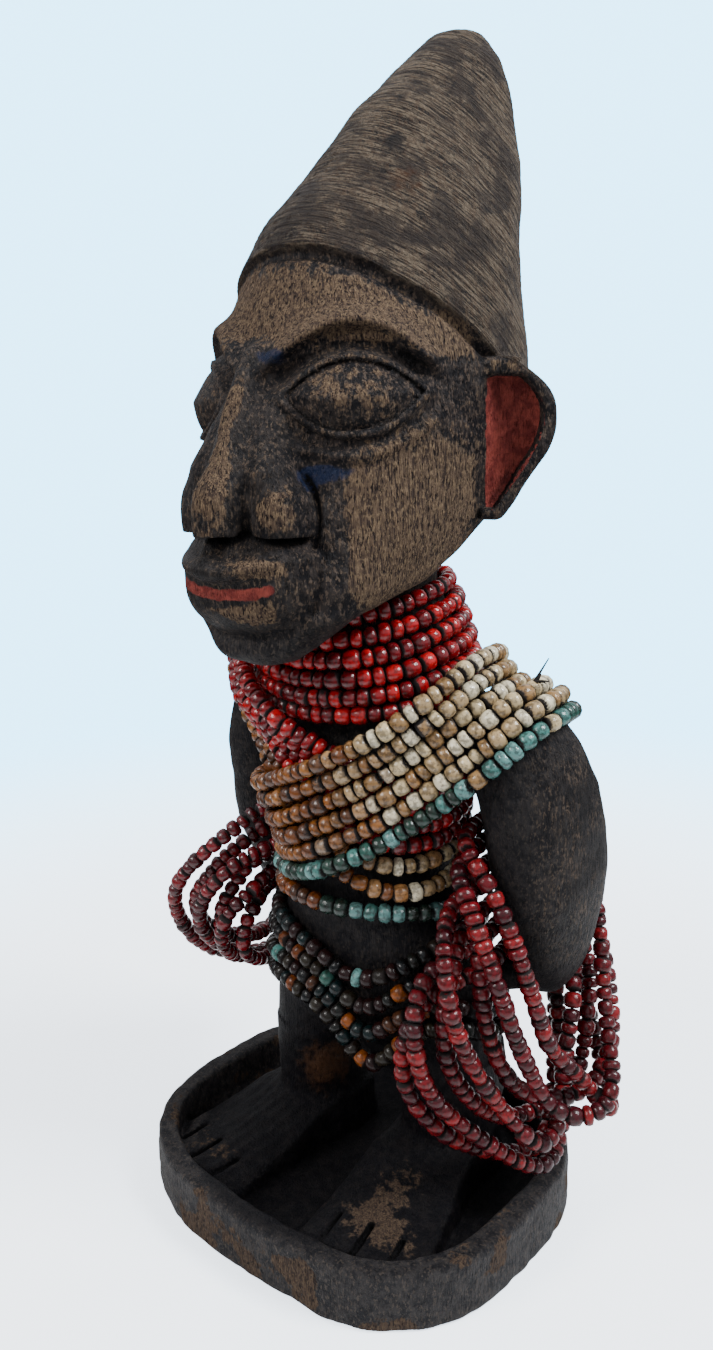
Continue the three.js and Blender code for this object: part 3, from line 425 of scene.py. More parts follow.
def foot(middle_x, middle_y, turn, x, y, z):
    """A broad foot that widens to blunt toes, parted by three slots."""
    across, fore = turned(x - middle_x, y - middle_y, turn)
    half = HEEL_HALF + TOES_WIDER * np.clip((fore + 14) / 50, 0, 1)
    height = TOE_HEIGHT + ANKLE_RISE * (1 - smooth_step(fore, 2, 20)) - TOES_SINK * smooth_step(fore, 14, 36)
    height = height - 0.012 * across**2
    plan = smooth_max(np.abs(across) - half, np.abs(fore - 11) - FOOT_HALF_LENGTH, 3)
    whole = smooth_max(plan, z - height, 1.6)
    slot = np.minimum(np.abs(across), np.abs(np.abs(across) - TOE_PITCH)) - TOE_SLOT_HALF
    slots = smooth_max(slot, np.maximum(TOE_SLOT_FROM - fore, 4.0 - z), 0.8)
    return smooth_max(np.maximum(whole, -1.5 - z), -slots, 0.8)


def plinth(x, y, z):
    oval = (PLINTH_HALF_WIDTH, PLINTH_FRONT, PLINTH_REAR, PLINTH_SQUARENESS)
    level = level_gap(x - PLINTH_MIDDLE[0], y - PLINTH_MIDDLE[1], *oval)
    upright = np.abs(z - (PLINTH_RIM - DISH_FLOOR) / 2) - (PLINTH_RIM + DISH_FLOOR) / 2
    dish = smooth_max(level + RIM_WALL + 0.12 * (PLINTH_RIM - z), -z, 2.0)
    return smooth_max(smooth_max(level, upright, 1.6), -dish, 1.2)


def both_legs(x, y, z):
    return np.minimum(left_leg_mass(x, y, z), right_leg_mass(x, y, z))


def body(x, y, z):
    """Neck, trunk, arms, hands and legs."""
    side = np.abs(x)
    whole = smooth_min(trunk_mass(x, y, z), neck_mass(x, y, z), 4)
    whole = smooth_min(whole, arm_mass(side, y, z), 2)
    whole = smooth_min(whole, rod(*HAND, side, y, z), 1.5)
    return smooth_min(whole, both_legs(x, y, z), 2.5)


def base(x, y, z):
    """The plinth with the feet and the lower legs that stand in it."""
    x = x + 0.6 * lumps(np.stack([x, y, z], 1), 13.0, 13)
    feet = np.minimum(*(foot(*place, x, y, z) for place in FEET))
    return smooth_min(smooth_min(feet, both_legs(x, y, z), 4), plinth(x, y, z), 1.0)


def carved(points):
    """The whole carving's field at points given as rows of x, y, height."""
    x, y, z = points.T
    field = np.full(len(x), FAR)
    for part, low, high in ((body, 8, 165), (head, 122, 270), (base, -20, 32)):
        near = (z > low) & (z < high)
        field[near] = smooth_min(field[near], part(x[near], y[near], z[near]), 1.5)
    return field


def slope_of(points, reach=0.25):
    """The field's slope at points."""
    slope = np.empty_like(points)
    for axis in range(3):
        step = np.zeros(3)
        step[axis] = reach
        slope[:, axis] = (carved(points + step) - carved(points - step)) / (2 * reach)
    return slope


def onto_surface(points, rounds, most=0.5):
    """Moves points along the slope onto the surface."""
    for _ in range(rounds):
        slope = slope_of(points)
        steep = np.maximum((slope**2).sum(1), 0.05)
        step = np.clip(carved(points) / np.sqrt(steep), -most, most) / np.sqrt(steep)
        points = points - slope * step[:, None]
    return points


# The carved surface as a mesh
def corner_views(counts):
    """For each corner of a grid's cells, the slices that give the values at that corner of every cell."""
    return [tuple(slice(c, n - 1 + c) for c, n in zip(corner, counts)) for corner in np.ndindex(2, 2, 2)]


def sampled_field(low, counts, step):
    """The field on a grid, worked out only in the coarse cells that the surface may cross."""
    coarse_counts = (counts - 1) // COARSE + 1
    axes = [low[a] + step * COARSE * np.arange(coarse_counts[a]) for a in range(3)]
    corners = np.stack(np.meshgrid(*axes, indexing="ij"), -1).reshape(-1, 3)
    coarse = carved(corners).reshape(coarse_counts)
    slope = np.sqrt(sum(g**2 for g in np.gradient(coarse, step * COARSE)))
    near = np.abs(coarse) < np.maximum(slope, 0.4) * step * COARSE * 1.25
    cells = np.zeros(coarse_counts - 1, bool)
    for view in corner_views(coarse_counts):
        cells |= near[view]
    fine_cells = np.kron(cells, np.ones((COARSE,) * 3, bool))
    wanted = np.zeros(counts, bool)
    for view in corner_views(counts):
        wanted[view] |= fine_cells
    signs = np.kron(np.where(coarse < 0, -FAR, FAR), np.ones((COARSE,) * 3))
    field = signs[tuple(slice(0, n) for n in counts)].astype(np.float32)
    field[wanted] = carved(low + np.argwhere(wanted) * step)
    return field


def crossing_points(field, cell, low, step):
    """For each grid cell, the mean of the places where its edges cross the surface."""
    total = np.zeros((len(cell), 3))
    crossings = np.zeros(len(cell))
    for axis in range(3):
        others = [a for a in range(3) if a != axis]
        for offset in np.ndindex(2, 2):
            start = cell.copy()
            start[:, others] += offset
            end = start.copy()
            end[:, axis] += 1
            a = field[tuple(start.T)]
            b = field[tuple(end.T)]
            cuts = (a < 0) != (b < 0)
            share = np.where(cuts, a / np.where(cuts, a - b, 1), 0)
            place = start.astype(float)
            place[:, axis] += share
            total[cuts] += place[cuts]
            crossings += cuts
    return low + step * total / crossings[:, None]


def surface_quads(solid, number):
    """A quad of numbered cells around each grid edge that crosses the surface, facing out of the solid."""
    quads = []
    for axis in range(3):
        after, last = (axis + 1) % 3, (axis + 2) % 3
        here = [slice(1, -1)] * 3
        here[axis] = slice(0, -1)
        there = list(here)
        there[axis] = slice(1, None)
        inner, outer = solid[tuple(here)], solid[tuple(there)]
        for mask, turn in ((inner & ~outer, 1), (~inner & outer, -1)):
            at = np.argwhere(mask)
            at[:, [after, last]] += 1
            ring = []
            for back_after, back_last in ((1, 1), (0, 1), (0, 0), (1, 0)):
                c = at.copy()
                c[:, after] -= back_after
                c[:, last] -= back_last
                ring.append(number[tuple(c.T)])
            quads.append(np.stack(ring[::turn], 1))
    return np.concatenate(quads)


def surface_net(low, high, step):
    """A mesh of quads on the carving's surface, with a vertex in each grid cell that it crosses."""
    low, high = np.array(low, float), np.array(high, float)
    counts = np.ceil((high - low) / (step * COARSE)).astype(int) * COARSE + 1
    field = sampled_field(low, counts, step)
    solid = field < 0
    crossed = np.zeros(counts - 1, bool)
    for view in corner_views(counts):
        crossed |= solid[view] != solid[:-1, :-1, :-1]
    cell = np.argwhere(crossed)
    number = np.full(counts - 1, -1, np.int64)
    number[crossed] = np.arange(len(cell))
    return crossing_points(field, cell, low, step), surface_quads(solid, number)


def link(made):
    bpy.context.scene.collection.objects.link(made)
    return made


def mesh_object(name, vertices, faces):
    """A mesh object from vertices in metres and from faces that all have the same number of corners."""
    mesh = bpy.data.meshes.new(name)
    sides = faces.shape[1]
    mesh.vertices.add(len(vertices))
    mesh.vertices.foreach_set("co", np.ascontiguousarray(vertices, np.float32).ravel())
    mesh.loops.add(faces.size)
    mesh.loops.foreach_set("vertex_index", np.ascontiguousarray(faces, np.int32).ravel())
    mesh.polygons.add(len(faces))
    mesh.polygons.foreach_set("loop_start", np.arange(0, faces.size, sides, dtype=np.int32))
    mesh.polygons.foreach_set("loop_total", np.full(len(faces), sides, np.int32))
    mesh.polygons.foreach_set("use_smooth", np.ones(len(faces), bool))
    mesh.update(calc_edges=True)
    mesh.validate()
    return link(bpy.data.objects.new(name, mesh))


def points_of(mesh):
    """A mesh's vertices, in millimetres."""
    co = np.empty(len(mesh.vertices) * 3)
    mesh.vertices.foreach_get("co", co)
    return co.reshape(-1, 3) / METRES


def in_metres(points):
    return (points + ABOVE_GROUND) * METRES


def set_values(piece, name, values):
    """Writes one number, or one colour, for each vertex."""
    kind = "FLOAT" if values.ndim == 1 else "FLOAT_COLOR"
    field = "value" if values.ndim == 1 else "color"
    attribute = piece.data.attributes.new(name, kind, "POINT")
    attribute.data.foreach_set(field, np.ascontiguousarray(values, np.float32).ravel())


def tool_marks(points):
    """Height that the carver's tools left on the surface."""
    x, y, z = points.T
    marks = 0.24 * lumps(points, 8.0, 1) + 0.12 * lumps(points, 3.2, 2)
    on_plinth = 1 - smooth_step(z, 8, 14)
    marks += on_plinth * (0.34 * lumps(points, 12.0, 3) + 0.14 * lumps(points, 2.2, 4))
    for middle_x, middle_y, turn in FEET:
        across, fore = turned(x - middle_x, y - middle_y, turn)
        on_foot = (np.abs(across) < 15) & (fore > -2) & (fore < 34) & (z > 4) & (z < 12)
        gouges = np.cos((across + 0.8 * lumps(points, 6.0, 5)) * 2 * np.pi / GOUGE_PITCH)
        marks += on_foot * 0.10 * gouges
    combed = smooth_step(z - hairline(y), 2, 8)
    strand = z + COMB_SLOPE * y + 1.2 * lumps(points, 14.0, 6)
    marks += combed * 0.07 * np.sin(strand * 2 * np.pi / COMB_PITCH)
    return marks


# Where the wood shows its colours: each spot is a middle, a size and a strength
BARE_SPOTS = [
    ((28, -15, 157), (10, 15, 11.5), 1.6),
    ((25, -20, 148), (7.5, 11, 7), 1.3),
    ((28.5, -7, 190), (4, 7, 5), 0.95),
    ((16, -22, 195), (12, 8, 5), 0.66),
    ((21, -18, 191), (8, 9, 5), 0.45),
    ((8, -28, 191), (9, 7, 4), 0.3),
    ((2, -26, 196), (12, 8, 7), 0.6),
    ((-14, -22, 196), (10, 9, 7), 0.6),
    ((1.5, -44, 166), (3.4, 5, 9), 1.0),
    ((0, -37, 178), (2.5, 5, 5), 0.6),
    ((13, -40, 159), (5, 4, 4), 0.7),
    ((10, -41, 149.3), (8, 5, 2.0), 1.1),
    ((7, -42, 140.2), (9, 5, 2.4), 0.9),
    ((20, -27, 180), (9, 7, 5), 0.2),
    ((34, 6, 186), (5, 4, 3), 0.5),
    ((24, -27, 7), (12, 6, 4), 0.68),
    ((19, -14, 8), (6, 12, 4), 0.55),
    ((-23, -31, 7), (8, 4, 4), 0.4),
    ((-36, -28, 8), (8, 8, 3), 0.5),
    ((0, -44, -1), (16, 5, 4), 0.25),
]
BLACK_SPOTS = [
    ((17, -31, 150), (4.2, 5, 9), 1.5),
    ((14, -31, 172), (7, 6, 6), 0.6),
    ((2, -38, 134), (17, 14, 5), 0.9),
    ((28, -7, 183.5), (4, 7, 3), 0.8),
    ((0, 0, 80), (27, 27, 34), 0.8),
    ((0, 0, 24), (44, 40, 16), 0.35),
]
STAIN_SPOTS = [
    ((9.5, 1, 225), (2.4, 5, 8), 0.8),
    ((19, -14, 202.0), (8, 8, 1.3), 0.6),
    ((25.5, -9, 196), (3, 4, 2.0), 0.6),
]
OCHRE_SPOTS = [
    ((14.5, -2, 218), (5, 6, 6), 0.62),
    ((-12, -4, 22), (8, 9, 11), 0.8),
    ((12, -26, 3), (12, 5, 4), 0.5),
]
BLUE_SPOTS = [
    ((16.5, -27.5, 166.0), (5.0, 5, 1.7), 0.85),
    ((13.0, -30.3, 164.0), (3.0, 4, 3.5), 0.7),
    ((5, -30, 187), (5, 3, 2.2), 0.7),
    ((28.5, -4, 182), (2.5, 4, 1.8), 0.5),
]
DEEP_BLACK_SPOTS = [((0, 0, 80), (29, 27, 36), 1.0)]

# Each crack is its route over the surface and its strength
CRACKS = [
    ([(12.4, -10.8, 214.6), (17.3, -16.4, 203.2), (19.6, -19.4, 194.3), (19.4, -19.9, 189.2)], 0.35),
    (
        [(10.5, 25.5, 238), (12.7, 24.5, 234.5), (16.5, 23.3, 227.2), (20.4, 21, 218.9), (24.5, 17.5, 209.6)],
        0.5,
    ),
    ([(-5.7, 4.1, 228.1), (3.3, -10.1, 218.6)], 0.6),
    ([(11.3, -2.8, 220.1), (14.6, -8.4, 214.6)], 0.5),
]

# Heights, or for the arms and the plinth's side ways out, between which the wood's looks change
PLINTH_ENDS = (8.5, 10.5)
LOW_WOOD_ENDS = (14, 24)
LEGS_END = (42, 56)
ARMS_START = (55, 66)
HEAD_STARTS = (132, 140)
FACE_STARTS = (134, 142)
PLINTH_SIDE_OUT = (40, 43)
ARM_BESIDE = (27, 30)
ARM_OUTER_SIDE = (40, 49)


def spots(points, listed):
    total = np.zeros(len(points))
    for middle, size, strength in listed:
        gap = (((points - np.array(middle)) / np.array(size)) ** 2).sum(1)
        total += strength * np.exp(-(gap**1.3))
    return total


def cracks(points):
    """How near the surface lies to a crack, from 0 to 1."""
    depth = np.zeros(len(points))
    for route, width in CRACKS:
        for start, end in zip(route[:-1], route[1:]):
            gap = rod(start, end, 0, 0, *points.T)
            depth = np.maximum(depth, width * ridge(np.maximum(gap - 0.6, 0), 0.55))
    return depth


def openness(points, normals):
    """How open to the air the surface is, from 0 in a deep corner to 1 on a bulge."""
    total = np.zeros(len(points))
    reaches = (1.0, 2.5, 6.0)
    for reach in reaches:
        total += np.clip(carved(points + normals * reach) / reach, 0, 1.2)
    return total / len(reaches)


def ear_paint(points, normals):
    """How much of the red paint in an ear's hollow lies at points, from 0 to 1."""
    x = points[:, 0]
    out, _, h, edge = ear_plan(*points.T)
    _, fore = turned(normals[:, 0] * np.sign(x), normals[:, 1], EAR_TURN)
    inner = np.maximum(out - edge + EAR_RIM - 0.6, np.abs(h + 0.6) - EAR_HALF + EAR_RIM - 0.6)
    return smooth_step(-inner, 0, 0.9) * smooth_step(fore, 0.2, 0.55) * smooth_step(out, -3.5, -2.0)


def wood_values(piece, points, normals):
    """Writes what the wood's material reads: where it is bare, black, stained, painted or open to the air,
    and the material paints shade where it is least open.
    """
    x, y, z = points.T
    side = np.abs(x)
    open_air = openness(points, normals)
    edges = smooth_step(open_air, 0.88, 1.06)
    plinth_side = (1 - smooth_step(z, *PLINTH_ENDS)) * smooth_step(
        np.hypot(x, y - PLINTH_MIDDLE[1]), *PLINTH_SIDE_OUT
    )
    patchy = smooth_step(lumps(points, 11.0, 8) + 0.5 * lumps(points, 5.0, 9), 0.0, 0.7)
    on_face = smooth_step(z, *FACE_STARTS) * smooth_step(8 - y, 0, 8)
    bare = spots(points, BARE_SPOTS) + (0.12 + 0.24 * on_face) * edges + 0.75 * plinth_side * patchy
    bare -= spots(points, BLACK_SPOTS)
    on_arm = smooth_step(side, *ARM_OUTER_SIDE) * smooth_step(z, *ARMS_START) * smooth_step(125 - z, 0, 12)
    worn_grey = np.maximum(on_arm * 0.8, smooth_step(z, *HEAD_STARTS) * 0.8)
    black = spots(points, DEEP_BLACK_SPOTS) * (z < 128) * (side < 30)
    black = np.maximum(black, 0.9 * (1 - smooth_step(z, *LEGS_END)) * (1 - plinth_side))
    beside_arm = 0.45 * smooth_step(side, *ARM_BESIDE) * (z < 125) * (z > 50) * (1 - worn_grey)
    black = np.maximum(black, beside_arm)
    mouth = MOUTH_HEIGHT + MOUTH_BOW * x * x
    on_mouth = 0.95 * ridge(z - mouth + 0.5, 1.35) * (y < -34) * smooth_step(14 - side, 0, 3)
    values = {
        "bare": np.clip(bare, 0, 1.2),
        "hair": smooth_step(z - hairline(y), -0.5, 0.8),
        "grey": np.clip(worn_grey, 0, 1),
        "face": smooth_step(z, *FACE_STARTS) * smooth_step(y, -44, -30),
        "low": 1 - smooth_step(z, *LOW_WOOD_ENDS),
        "black": np.clip(black, 0, 1),
        "stain": np.clip(spots(points, STAIN_SPOTS) + cracks(points), 0, 1.2),
        "ochre": np.clip(spots(points, OCHRE_SPOTS), 0, 1),
        "red_paint": np.clip(ear_paint(points, normals) + on_mouth, 0, 1),
        "blue_paint": np.clip(spots(points, BLUE_SPOTS), 0, 1),
        # Read by the material to paint shade in deep corners and creases.
        "open_air": np.clip(open_air, 0, 1),
    }
    for name, value in values.items():
        set_values(piece, name, value)


def build_carving():
    vertices, quads = surface_net(GRID_LOW, GRID_HIGH, GRID_STEP)
    vertices = onto_surface(vertices, 2)
    marked = vertices + unit(slope_of(vertices)) * tool_marks(vertices)[:, None]
    marked[:, 2] = np.clip(marked[:, 2], -DISH_FLOOR, FIGURE_TOP)
    dense = mesh_object("dense_carving", in_metres(marked), quads)
    modifier = dense.modifiers.new("fewer", "DECIMATE")
    modifier.ratio = min(1, CARVED_TRIANGLES / (2 * len(quads)))
    bpy.context.view_layer.update()
    evaluated = dense.evaluated_get(bpy.context.evaluated_depsgraph_get())
    mesh = bpy.data.meshes.new_from_object(evaluated)
    bpy.data.objects.remove(dense)
    mesh.name = "carved_wood"
    piece = link(bpy.data.objects.new("carved_wood", mesh))
    points = points_of(mesh) - ABOVE_GROUND
    wood_values(piece, points, unit(slope_of(points)))
    return piece


# Nodes of a material, one short call each
class Nodes:
    def __init__(self, name):
        self.material = bpy.data.materials.new(name)
        self.material.use_nodes = True
        self.tree = self.material.node_tree
        self.tree.nodes.clear()
        self.output = self.add("ShaderNodeOutputMaterial")

    def add(self, kind, inputs=None, **settings):
        node = self.tree.nodes.new(kind)
        for key, value in settings.items():
            setattr(node, key, value)
        for key, value in (inputs or {}).items():
            self.join(value, node.inputs[key])
        return node

    def join(self, value, socket):
        if isinstance(value, bpy.types.NodeSocket):
            self.tree.links.new(value, socket)
        else:
            socket.default_value = value

    def math(self, operation, *values):
        return self.add("ShaderNodeMath", dict(enumerate(values)), operation=operation).outputs[0]

    def plus(self, a, b):
        return self.math("ADD", a, b)

    def times(self, a, b):
        return self.math("MULTIPLY", a, b)

    def swing(self, noise, size):
        """A noise's swing about its middle."""
        return self.times(self.math("SUBTRACT", noise, 0.5), size)

    def step(self, value, low, high):
        inputs = {"Value": value, "From Min": low, "From Max": high}
        return self.add("ShaderNodeMapRange", inputs, interpolation_type="SMOOTHSTEP").outputs["Result"]

    def between(self, share, low, high):
        inputs = {"Value": share, "To Min": low, "To Max": high}
        return self.add("ShaderNodeMapRange", inputs).outputs["Result"]

    def mix(self, share, a, b):
        node = self.add("ShaderNodeMix", data_type="RGBA")
        self.join(share, node.inputs["Factor"])
        self.join(a, node.inputs[6])
        self.join(b, node.inputs[7])
        return node.outputs[2]

    def value(self, name):
        return self.add("ShaderNodeAttribute", attribute_name=name).outputs["Fac"]

    def colour(self, name):
        return self.add("ShaderNodeAttribute", attribute_name=name).outputs["Color"]

    def place(self):
        return self.add("ShaderNodeTexCoord").outputs["Object"]

    def millimetres(self, stretch=(1, 1, 1), turn=(0, 0, 0)):
        turned_place = self.add("ShaderNodeMapping", {"Vector": self.place(), "Rotation": turn})
        scale = tuple(1000 * s for s in stretch)
        return self.add("ShaderNodeMapping", {"Vector": turned_place.outputs[0], "Scale": scale}).outputs[0]

    def noise(self, place, scale, detail=3.0, rough=0.55, distortion=0.0):
        inputs = {"Vector": place, "Scale": scale, "Detail": detail, "Roughness": rough}
        inputs["Distortion"] = distortion
        return self.add("ShaderNodeTexNoise", inputs).outputs["Fac"]

    def bump(self, height, distance):
        inputs = {"Height": height, "Strength": 1.0, "Distance": distance}
        return self.add("ShaderNodeBump", inputs).outputs["Normal"]

    def finish(self, inputs):
        shader = self.add("ShaderNodeBsdfPrincipled", inputs)
        self.tree.links.new(shader.outputs[0], self.output.inputs["Surface"])
        return self.material


def srgb(red, green, blue):
    """A colour as it looks on a screen, from 0 to 255, as a shader's colour."""
    parts = [v / 255 for v in (red, green, blue)]
    return tuple(v / 12.92 if v < 0.04045 else ((v + 0.055) / 1.055) ** 2.4 for v in parts) + (1.0,)


# Noises of the wood: stretch of a millimetre, scale, detail, roughness and distortion
WOOD_NOISES = {
    "fibre": ((1.3, 1.3, 0.2), 1.0, 4, 0.6, 0),
    "fine_fibre": ((4.2, 4.2, 0.55), 1.0, 3, 0.6, 0),
    "flecks": ((1.6, 1.6, 0.9), 1.0, 4, 0.65, 0),
    "pores": ((3.0, 3.0, 0.7), 1.0, 2, 0.5, 0),
    "blotch": ((1, 1, 1), 0.10, 4, 0.62, 0.4),
    "patch": ((1, 1, 1), 0.45, 4, 0.62, 0),
}
# Kinds of wood: a ground colour, then layers, each with its noise, the noise's values where it sets in and
# is full, how much of it covers, and its colour
OLD_WOOD = ((24, 23, 26), ("patch", 0.40, 0.60, 1, (46, 43, 43)), ("flecks", 0.52, 0.64, 1, (64, 57, 52)))
FACE_WOOD = ((19, 18, 21), ("patch", 0.42, 0.60, 1, (47, 41, 39)), ("flecks", 0.52, 0.62, 1, (78, 66, 58)))
BLACK_WOOD = ((5, 4, 8), ("patch", 0.44, 0.64, 1, (15, 12, 14)))
WORN_WOOD = (
    (20, 18, 18),
    ("patch", 0.40, 0.60, 1, (50, 43, 39)),
    ("flecks", 0.50, 0.60, 1, (96, 80, 66)),
    ("blotch", 0.42, 0.60, 1, (24, 22, 22)),
)
BARE_WOOD = (
    (50, 40, 36),
    ("fibre", 0.38, 0.60, 1, (86, 70, 57)),
    ("flecks", 0.50, 0.62, 0.8, (112, 94, 74)),
    ("fine_fibre", 0.54, 0.64, 0.7, (126, 104, 80)),
    ("pores", 0.56, 0.64, 1, (34, 26, 25)),
)
HAIR_WOOD = (
    (26, 23, 24),
    ("combed", 0.45, 0.55, 1, (112, 99, 84)),
    ("fine_fibre", 0.5, 0.62, 0.5, (104, 90, 74)),
    ("fibre", 0.46, 0.60, 0.5, (72, 55, 43)),
    ("flecks", 0.55, 0.64, 0.6, (38, 30, 28)),
    ("blotch", 0.46, 0.60, 0.72, (40, 34, 33)),
    ("patch", 0.58, 0.70, 0.7, (28, 26, 28)),
)
LOW_BARE_WOOD = (42, 32, 27)
# Painted shade: the near-black colour laid in the wood's deep corners and creases.
CORNER_SHADE = (11, 10, 11)
# Stains and paint: the attribute's name, where it sets in and is full, how much covers, and its colours
PAINTS = (
    ("ochre", 0.4, 0.8, 0.5, ((86, 56, 34),)),
    ("stain", 0.45, 0.75, 0.85, ((24, 22, 24),)),
    ("red_paint", 0.4, 0.6, 0.92, ((136, 62, 54), ("patch", 0.4, 0.62, 1, (102, 40, 37)))),
    ("blue_paint", 0.42, 0.66, 0.8, ((16, 29, 56),)),
)


def layered(n, noises, ground, *layers):
    """A ground colour under layers of colour, each laid where its noise is high."""
    colour = srgb(*ground)
    for noise, low, high, share, paint in layers:
        cover = n.times(n.step(noises[noise], low, high), share)
        colour = n.mix(cover, colour, srgb(*paint))
    return colour


def wood_material():
    n = Nodes("carved_wood")
    noises = {name: n.noise(n.millimetres(stretch), *rest) for name, (stretch, *rest) in WOOD_NOISES.items()}
    combed_place = n.millimetres((0.2, 0.14, 2.3), (math.atan(COMB_SLOPE), 0, 0))
    noises["combed"] = n.noise(combed_place, 1.0, 5, 0.68, 0.35)
    fibre, patch, hair = noises["fibre"], noises["patch"], n.value("hair")

    bare = n.step(n.plus(n.plus(n.value("bare"), n.swing(fibre, 0.5)), n.swing(patch, 1.3)), 0.42, 0.6)
    worn = n.times(n.value("grey"), n.step(fibre, 0.36, 0.58))
    on_face = n.times(n.value("face"), n.step(noises["blotch"], 0.36, 0.56))
    skin = n.mix(worn, layered(n, noises, *OLD_WOOD), layered(n, noises, *WORN_WOOD))
    skin = n.mix(on_face, skin, layered(n, noises, *FACE_WOOD))
    skin = n.mix(n.value("black"), skin, layered(n, noises, *BLACK_WOOD))
    tan = n.mix(n.times(n.value("low"), 0.62), layered(n, noises, *BARE_WOOD), srgb(*LOW_BARE_WOOD))
    wood = n.mix(hair, n.mix(bare, skin, tan), layered(n, noises, *HAIR_WOOD))
    ragged = n.swing(patch, 0.9)
    for name, low, high, share, paint in PAINTS:
        cover = n.times(n.step(n.plus(n.value(name), ragged), low, high), share)
        wood = n.mix(cover, wood, layered(n, noises, *paint))
    # Painted shade: where the surface is least open to the air, in deep corners and creases, the wood is
    # darkened to near black.
    wood = n.mix(n.step(n.value("open_air"), 0.2, 0.56), srgb(*CORNER_SHADE), wood)

    heights = (
        (fibre, 0.7),
        (noises["fine_fibre"], 0.45),
        (n.times(noises["combed"], hair), 1.3),
        (patch, 0.6),
        (n.step(noises["pores"], 0.58, 0.74), -0.45),
        (n.value("stain"), -0.8),
    )
    relief = 0.0
    for height, share in heights:
        relief = n.plus(relief, n.times(height, share))
    inputs = {"Base Color": wood, "Roughness": n.between(bare, 0.5, 0.8), "Normal": n.bump(relief, 0.0011)}
    return n.finish({**inputs, "Specular IOR Level": 0.12})


def bead_material(name, roughness, wear, gloss):
    """Old glass: its own colour, dirt around the holes and in the pits, dirt and painted shade where other
    strings' beads lie close, and a slightly uneven gloss.
    """
    n = Nodes(name)
    place = n.millimetres()
    cloud = n.noise(place, 0.9, 3, 0.6)
    pits = n.noise(place, 2.4, 3, 0.65)
    tint = n.colour("tint")
    shade = n.mix(n.step(cloud, 0.42, 0.62), tint, n.mix(0.6, tint, srgb(22, 10, 8)))
    # Dirt at the holes and in the pits, and painted shade with dirt where other strings' beads lie close,
    # darken the glass.
    dirt_and_shade = n.plus(n.plus(n.value("end"), n.swing(pits, wear)), n.value("grime"))
    dirt_and_shade_cover = n.step(dirt_and_shade, 0.42, 0.86)
    colour = n.mix(dirt_and_shade_cover, shade, srgb(17, 9, 8))
    rough = n.between(dirt_and_shade_cover, roughness, 0.85)
    normal = n.bump(n.plus(n.times(cloud, 0.6), n.times(pits, 0.5)), 0.00012)
    return n.finish({"Base Color": colour, "Roughness": rough, "Normal": normal, "Specular IOR Level": gloss})


# Strings of beads; a bead's profile is the place along it from -1 to 1 and the share of its full radius
STRING_SIDE_SHARE = 0.8
SECTION_REACH = 1.25
CURVE_STEP = 2.6
BEAD_LENGTHS = (2.2, 3.7)
BEAD_WIDTHS = (0.985, 0.055)
BEAD_WIDTH_ENDS = (0.84, 1.08)
BEAD_PROFILE = (
    (-1.0, 0.36), (-0.94, 0.64), (-0.64, 0.92), (0.0, 1.0), (0.64, 0.92), (0.94, 0.64), (1.0, 0.36)
)
BEAD_DIMPLE = 0.15
BEAD_SIDES = 11
BEAD_FILL = 0.96
BEAD_TILT = 0.11
BEAD_SQUEEZE = (0.93, 1.05)
THREAD_RADIUS = 0.42
THREAD_SIDES = 5
THREAD_COLOUR = (24, 14, 12)
KNOTTED_STRING = "left_shoulder_string_3"
KNOT_SIDE = (0.3, 0.0, 1.0)
KNOT_RISE = 1.2
FRAYED_ENDS = 6
FRAYED_LENGTHS = (2.2, 3.8)
# Dirt and painted shade are full this many radii from another string's bead, and have faded this many radii
# further out
DIRT_AND_SHADE_FULL = 1.02
DIRT_AND_SHADE_FADES = 0.42
# How much each round of settling smooths the strings, draws them home and pushes them apart
SETTLE_ROUNDS = 45
SETTLE_SMOOTHING = 0.35
SETTLE_HOMING = 0.06
SETTLE_PUSH = 1.2


def square_sections(node):
    """The middles of a square string's sections, in order around it, and the sections' side."""
    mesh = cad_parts[node].data
    places, same = np.unique(np.round(points_of(mesh), 3), axis=0, return_inverse=True)
    same = same.ravel()
    pairs = {tuple(sorted((same[e.vertices[0]], same[e.vertices[1]]))) for e in mesh.edges}
    pairs = [p for p in pairs if p[0] != p[1]]
    lengths = {p: np.linalg.norm(places[p[0]] - places[p[1]]) for p in pairs}
    side = sorted(lengths.values())[len(places) // 2]
    group = list(range(len(places)))

    def root(i):
        while group[i] != i:
            i = group[i]
        return i

    for a, b in pairs:
        if lengths[a, b] < SECTION_REACH * side:
            group[root(a)] = root(b)
    roots = sorted({root(i) for i in range(len(places))})
    middles = {r: places[[i for i in range(len(places)) if root(i) == r]].mean(0) for r in roots}
    beside = {r: set() for r in roots}
    for a, b in pairs:
        if root(a) != root(b):
            beside[root(a)].add(root(b))
            beside[root(b)].add(root(a))
    order = [max(roots, key=lambda r: (round(float(middles[r][1]), 2), round(float(middles[r][0]), 2)))]
    following = max(beside[order[0]], key=lambda r: float(middles[r][0]))
    while following is not None:
        order.append(following)
        left = [r for r in beside[following] if r not in order]
        following = left[0] if left else None
    return np.array([middles[r] for r in order]) - ABOVE_GROUND, side


def spaced(closed, shares):
    """Points at shares of the length of a closed line."""
    ring = np.vstack([closed, closed[:1]])
    reach = np.concatenate([[0], np.cumsum(np.linalg.norm(np.diff(ring, axis=0), axis=1))])
    return np.stack([np.interp(shares * reach[-1], reach, ring[:, a]) for a in range(3)], 1)


def length_of(closed):
    return np.linalg.norm(np.roll(closed, -1, 0) - closed, axis=1).sum()


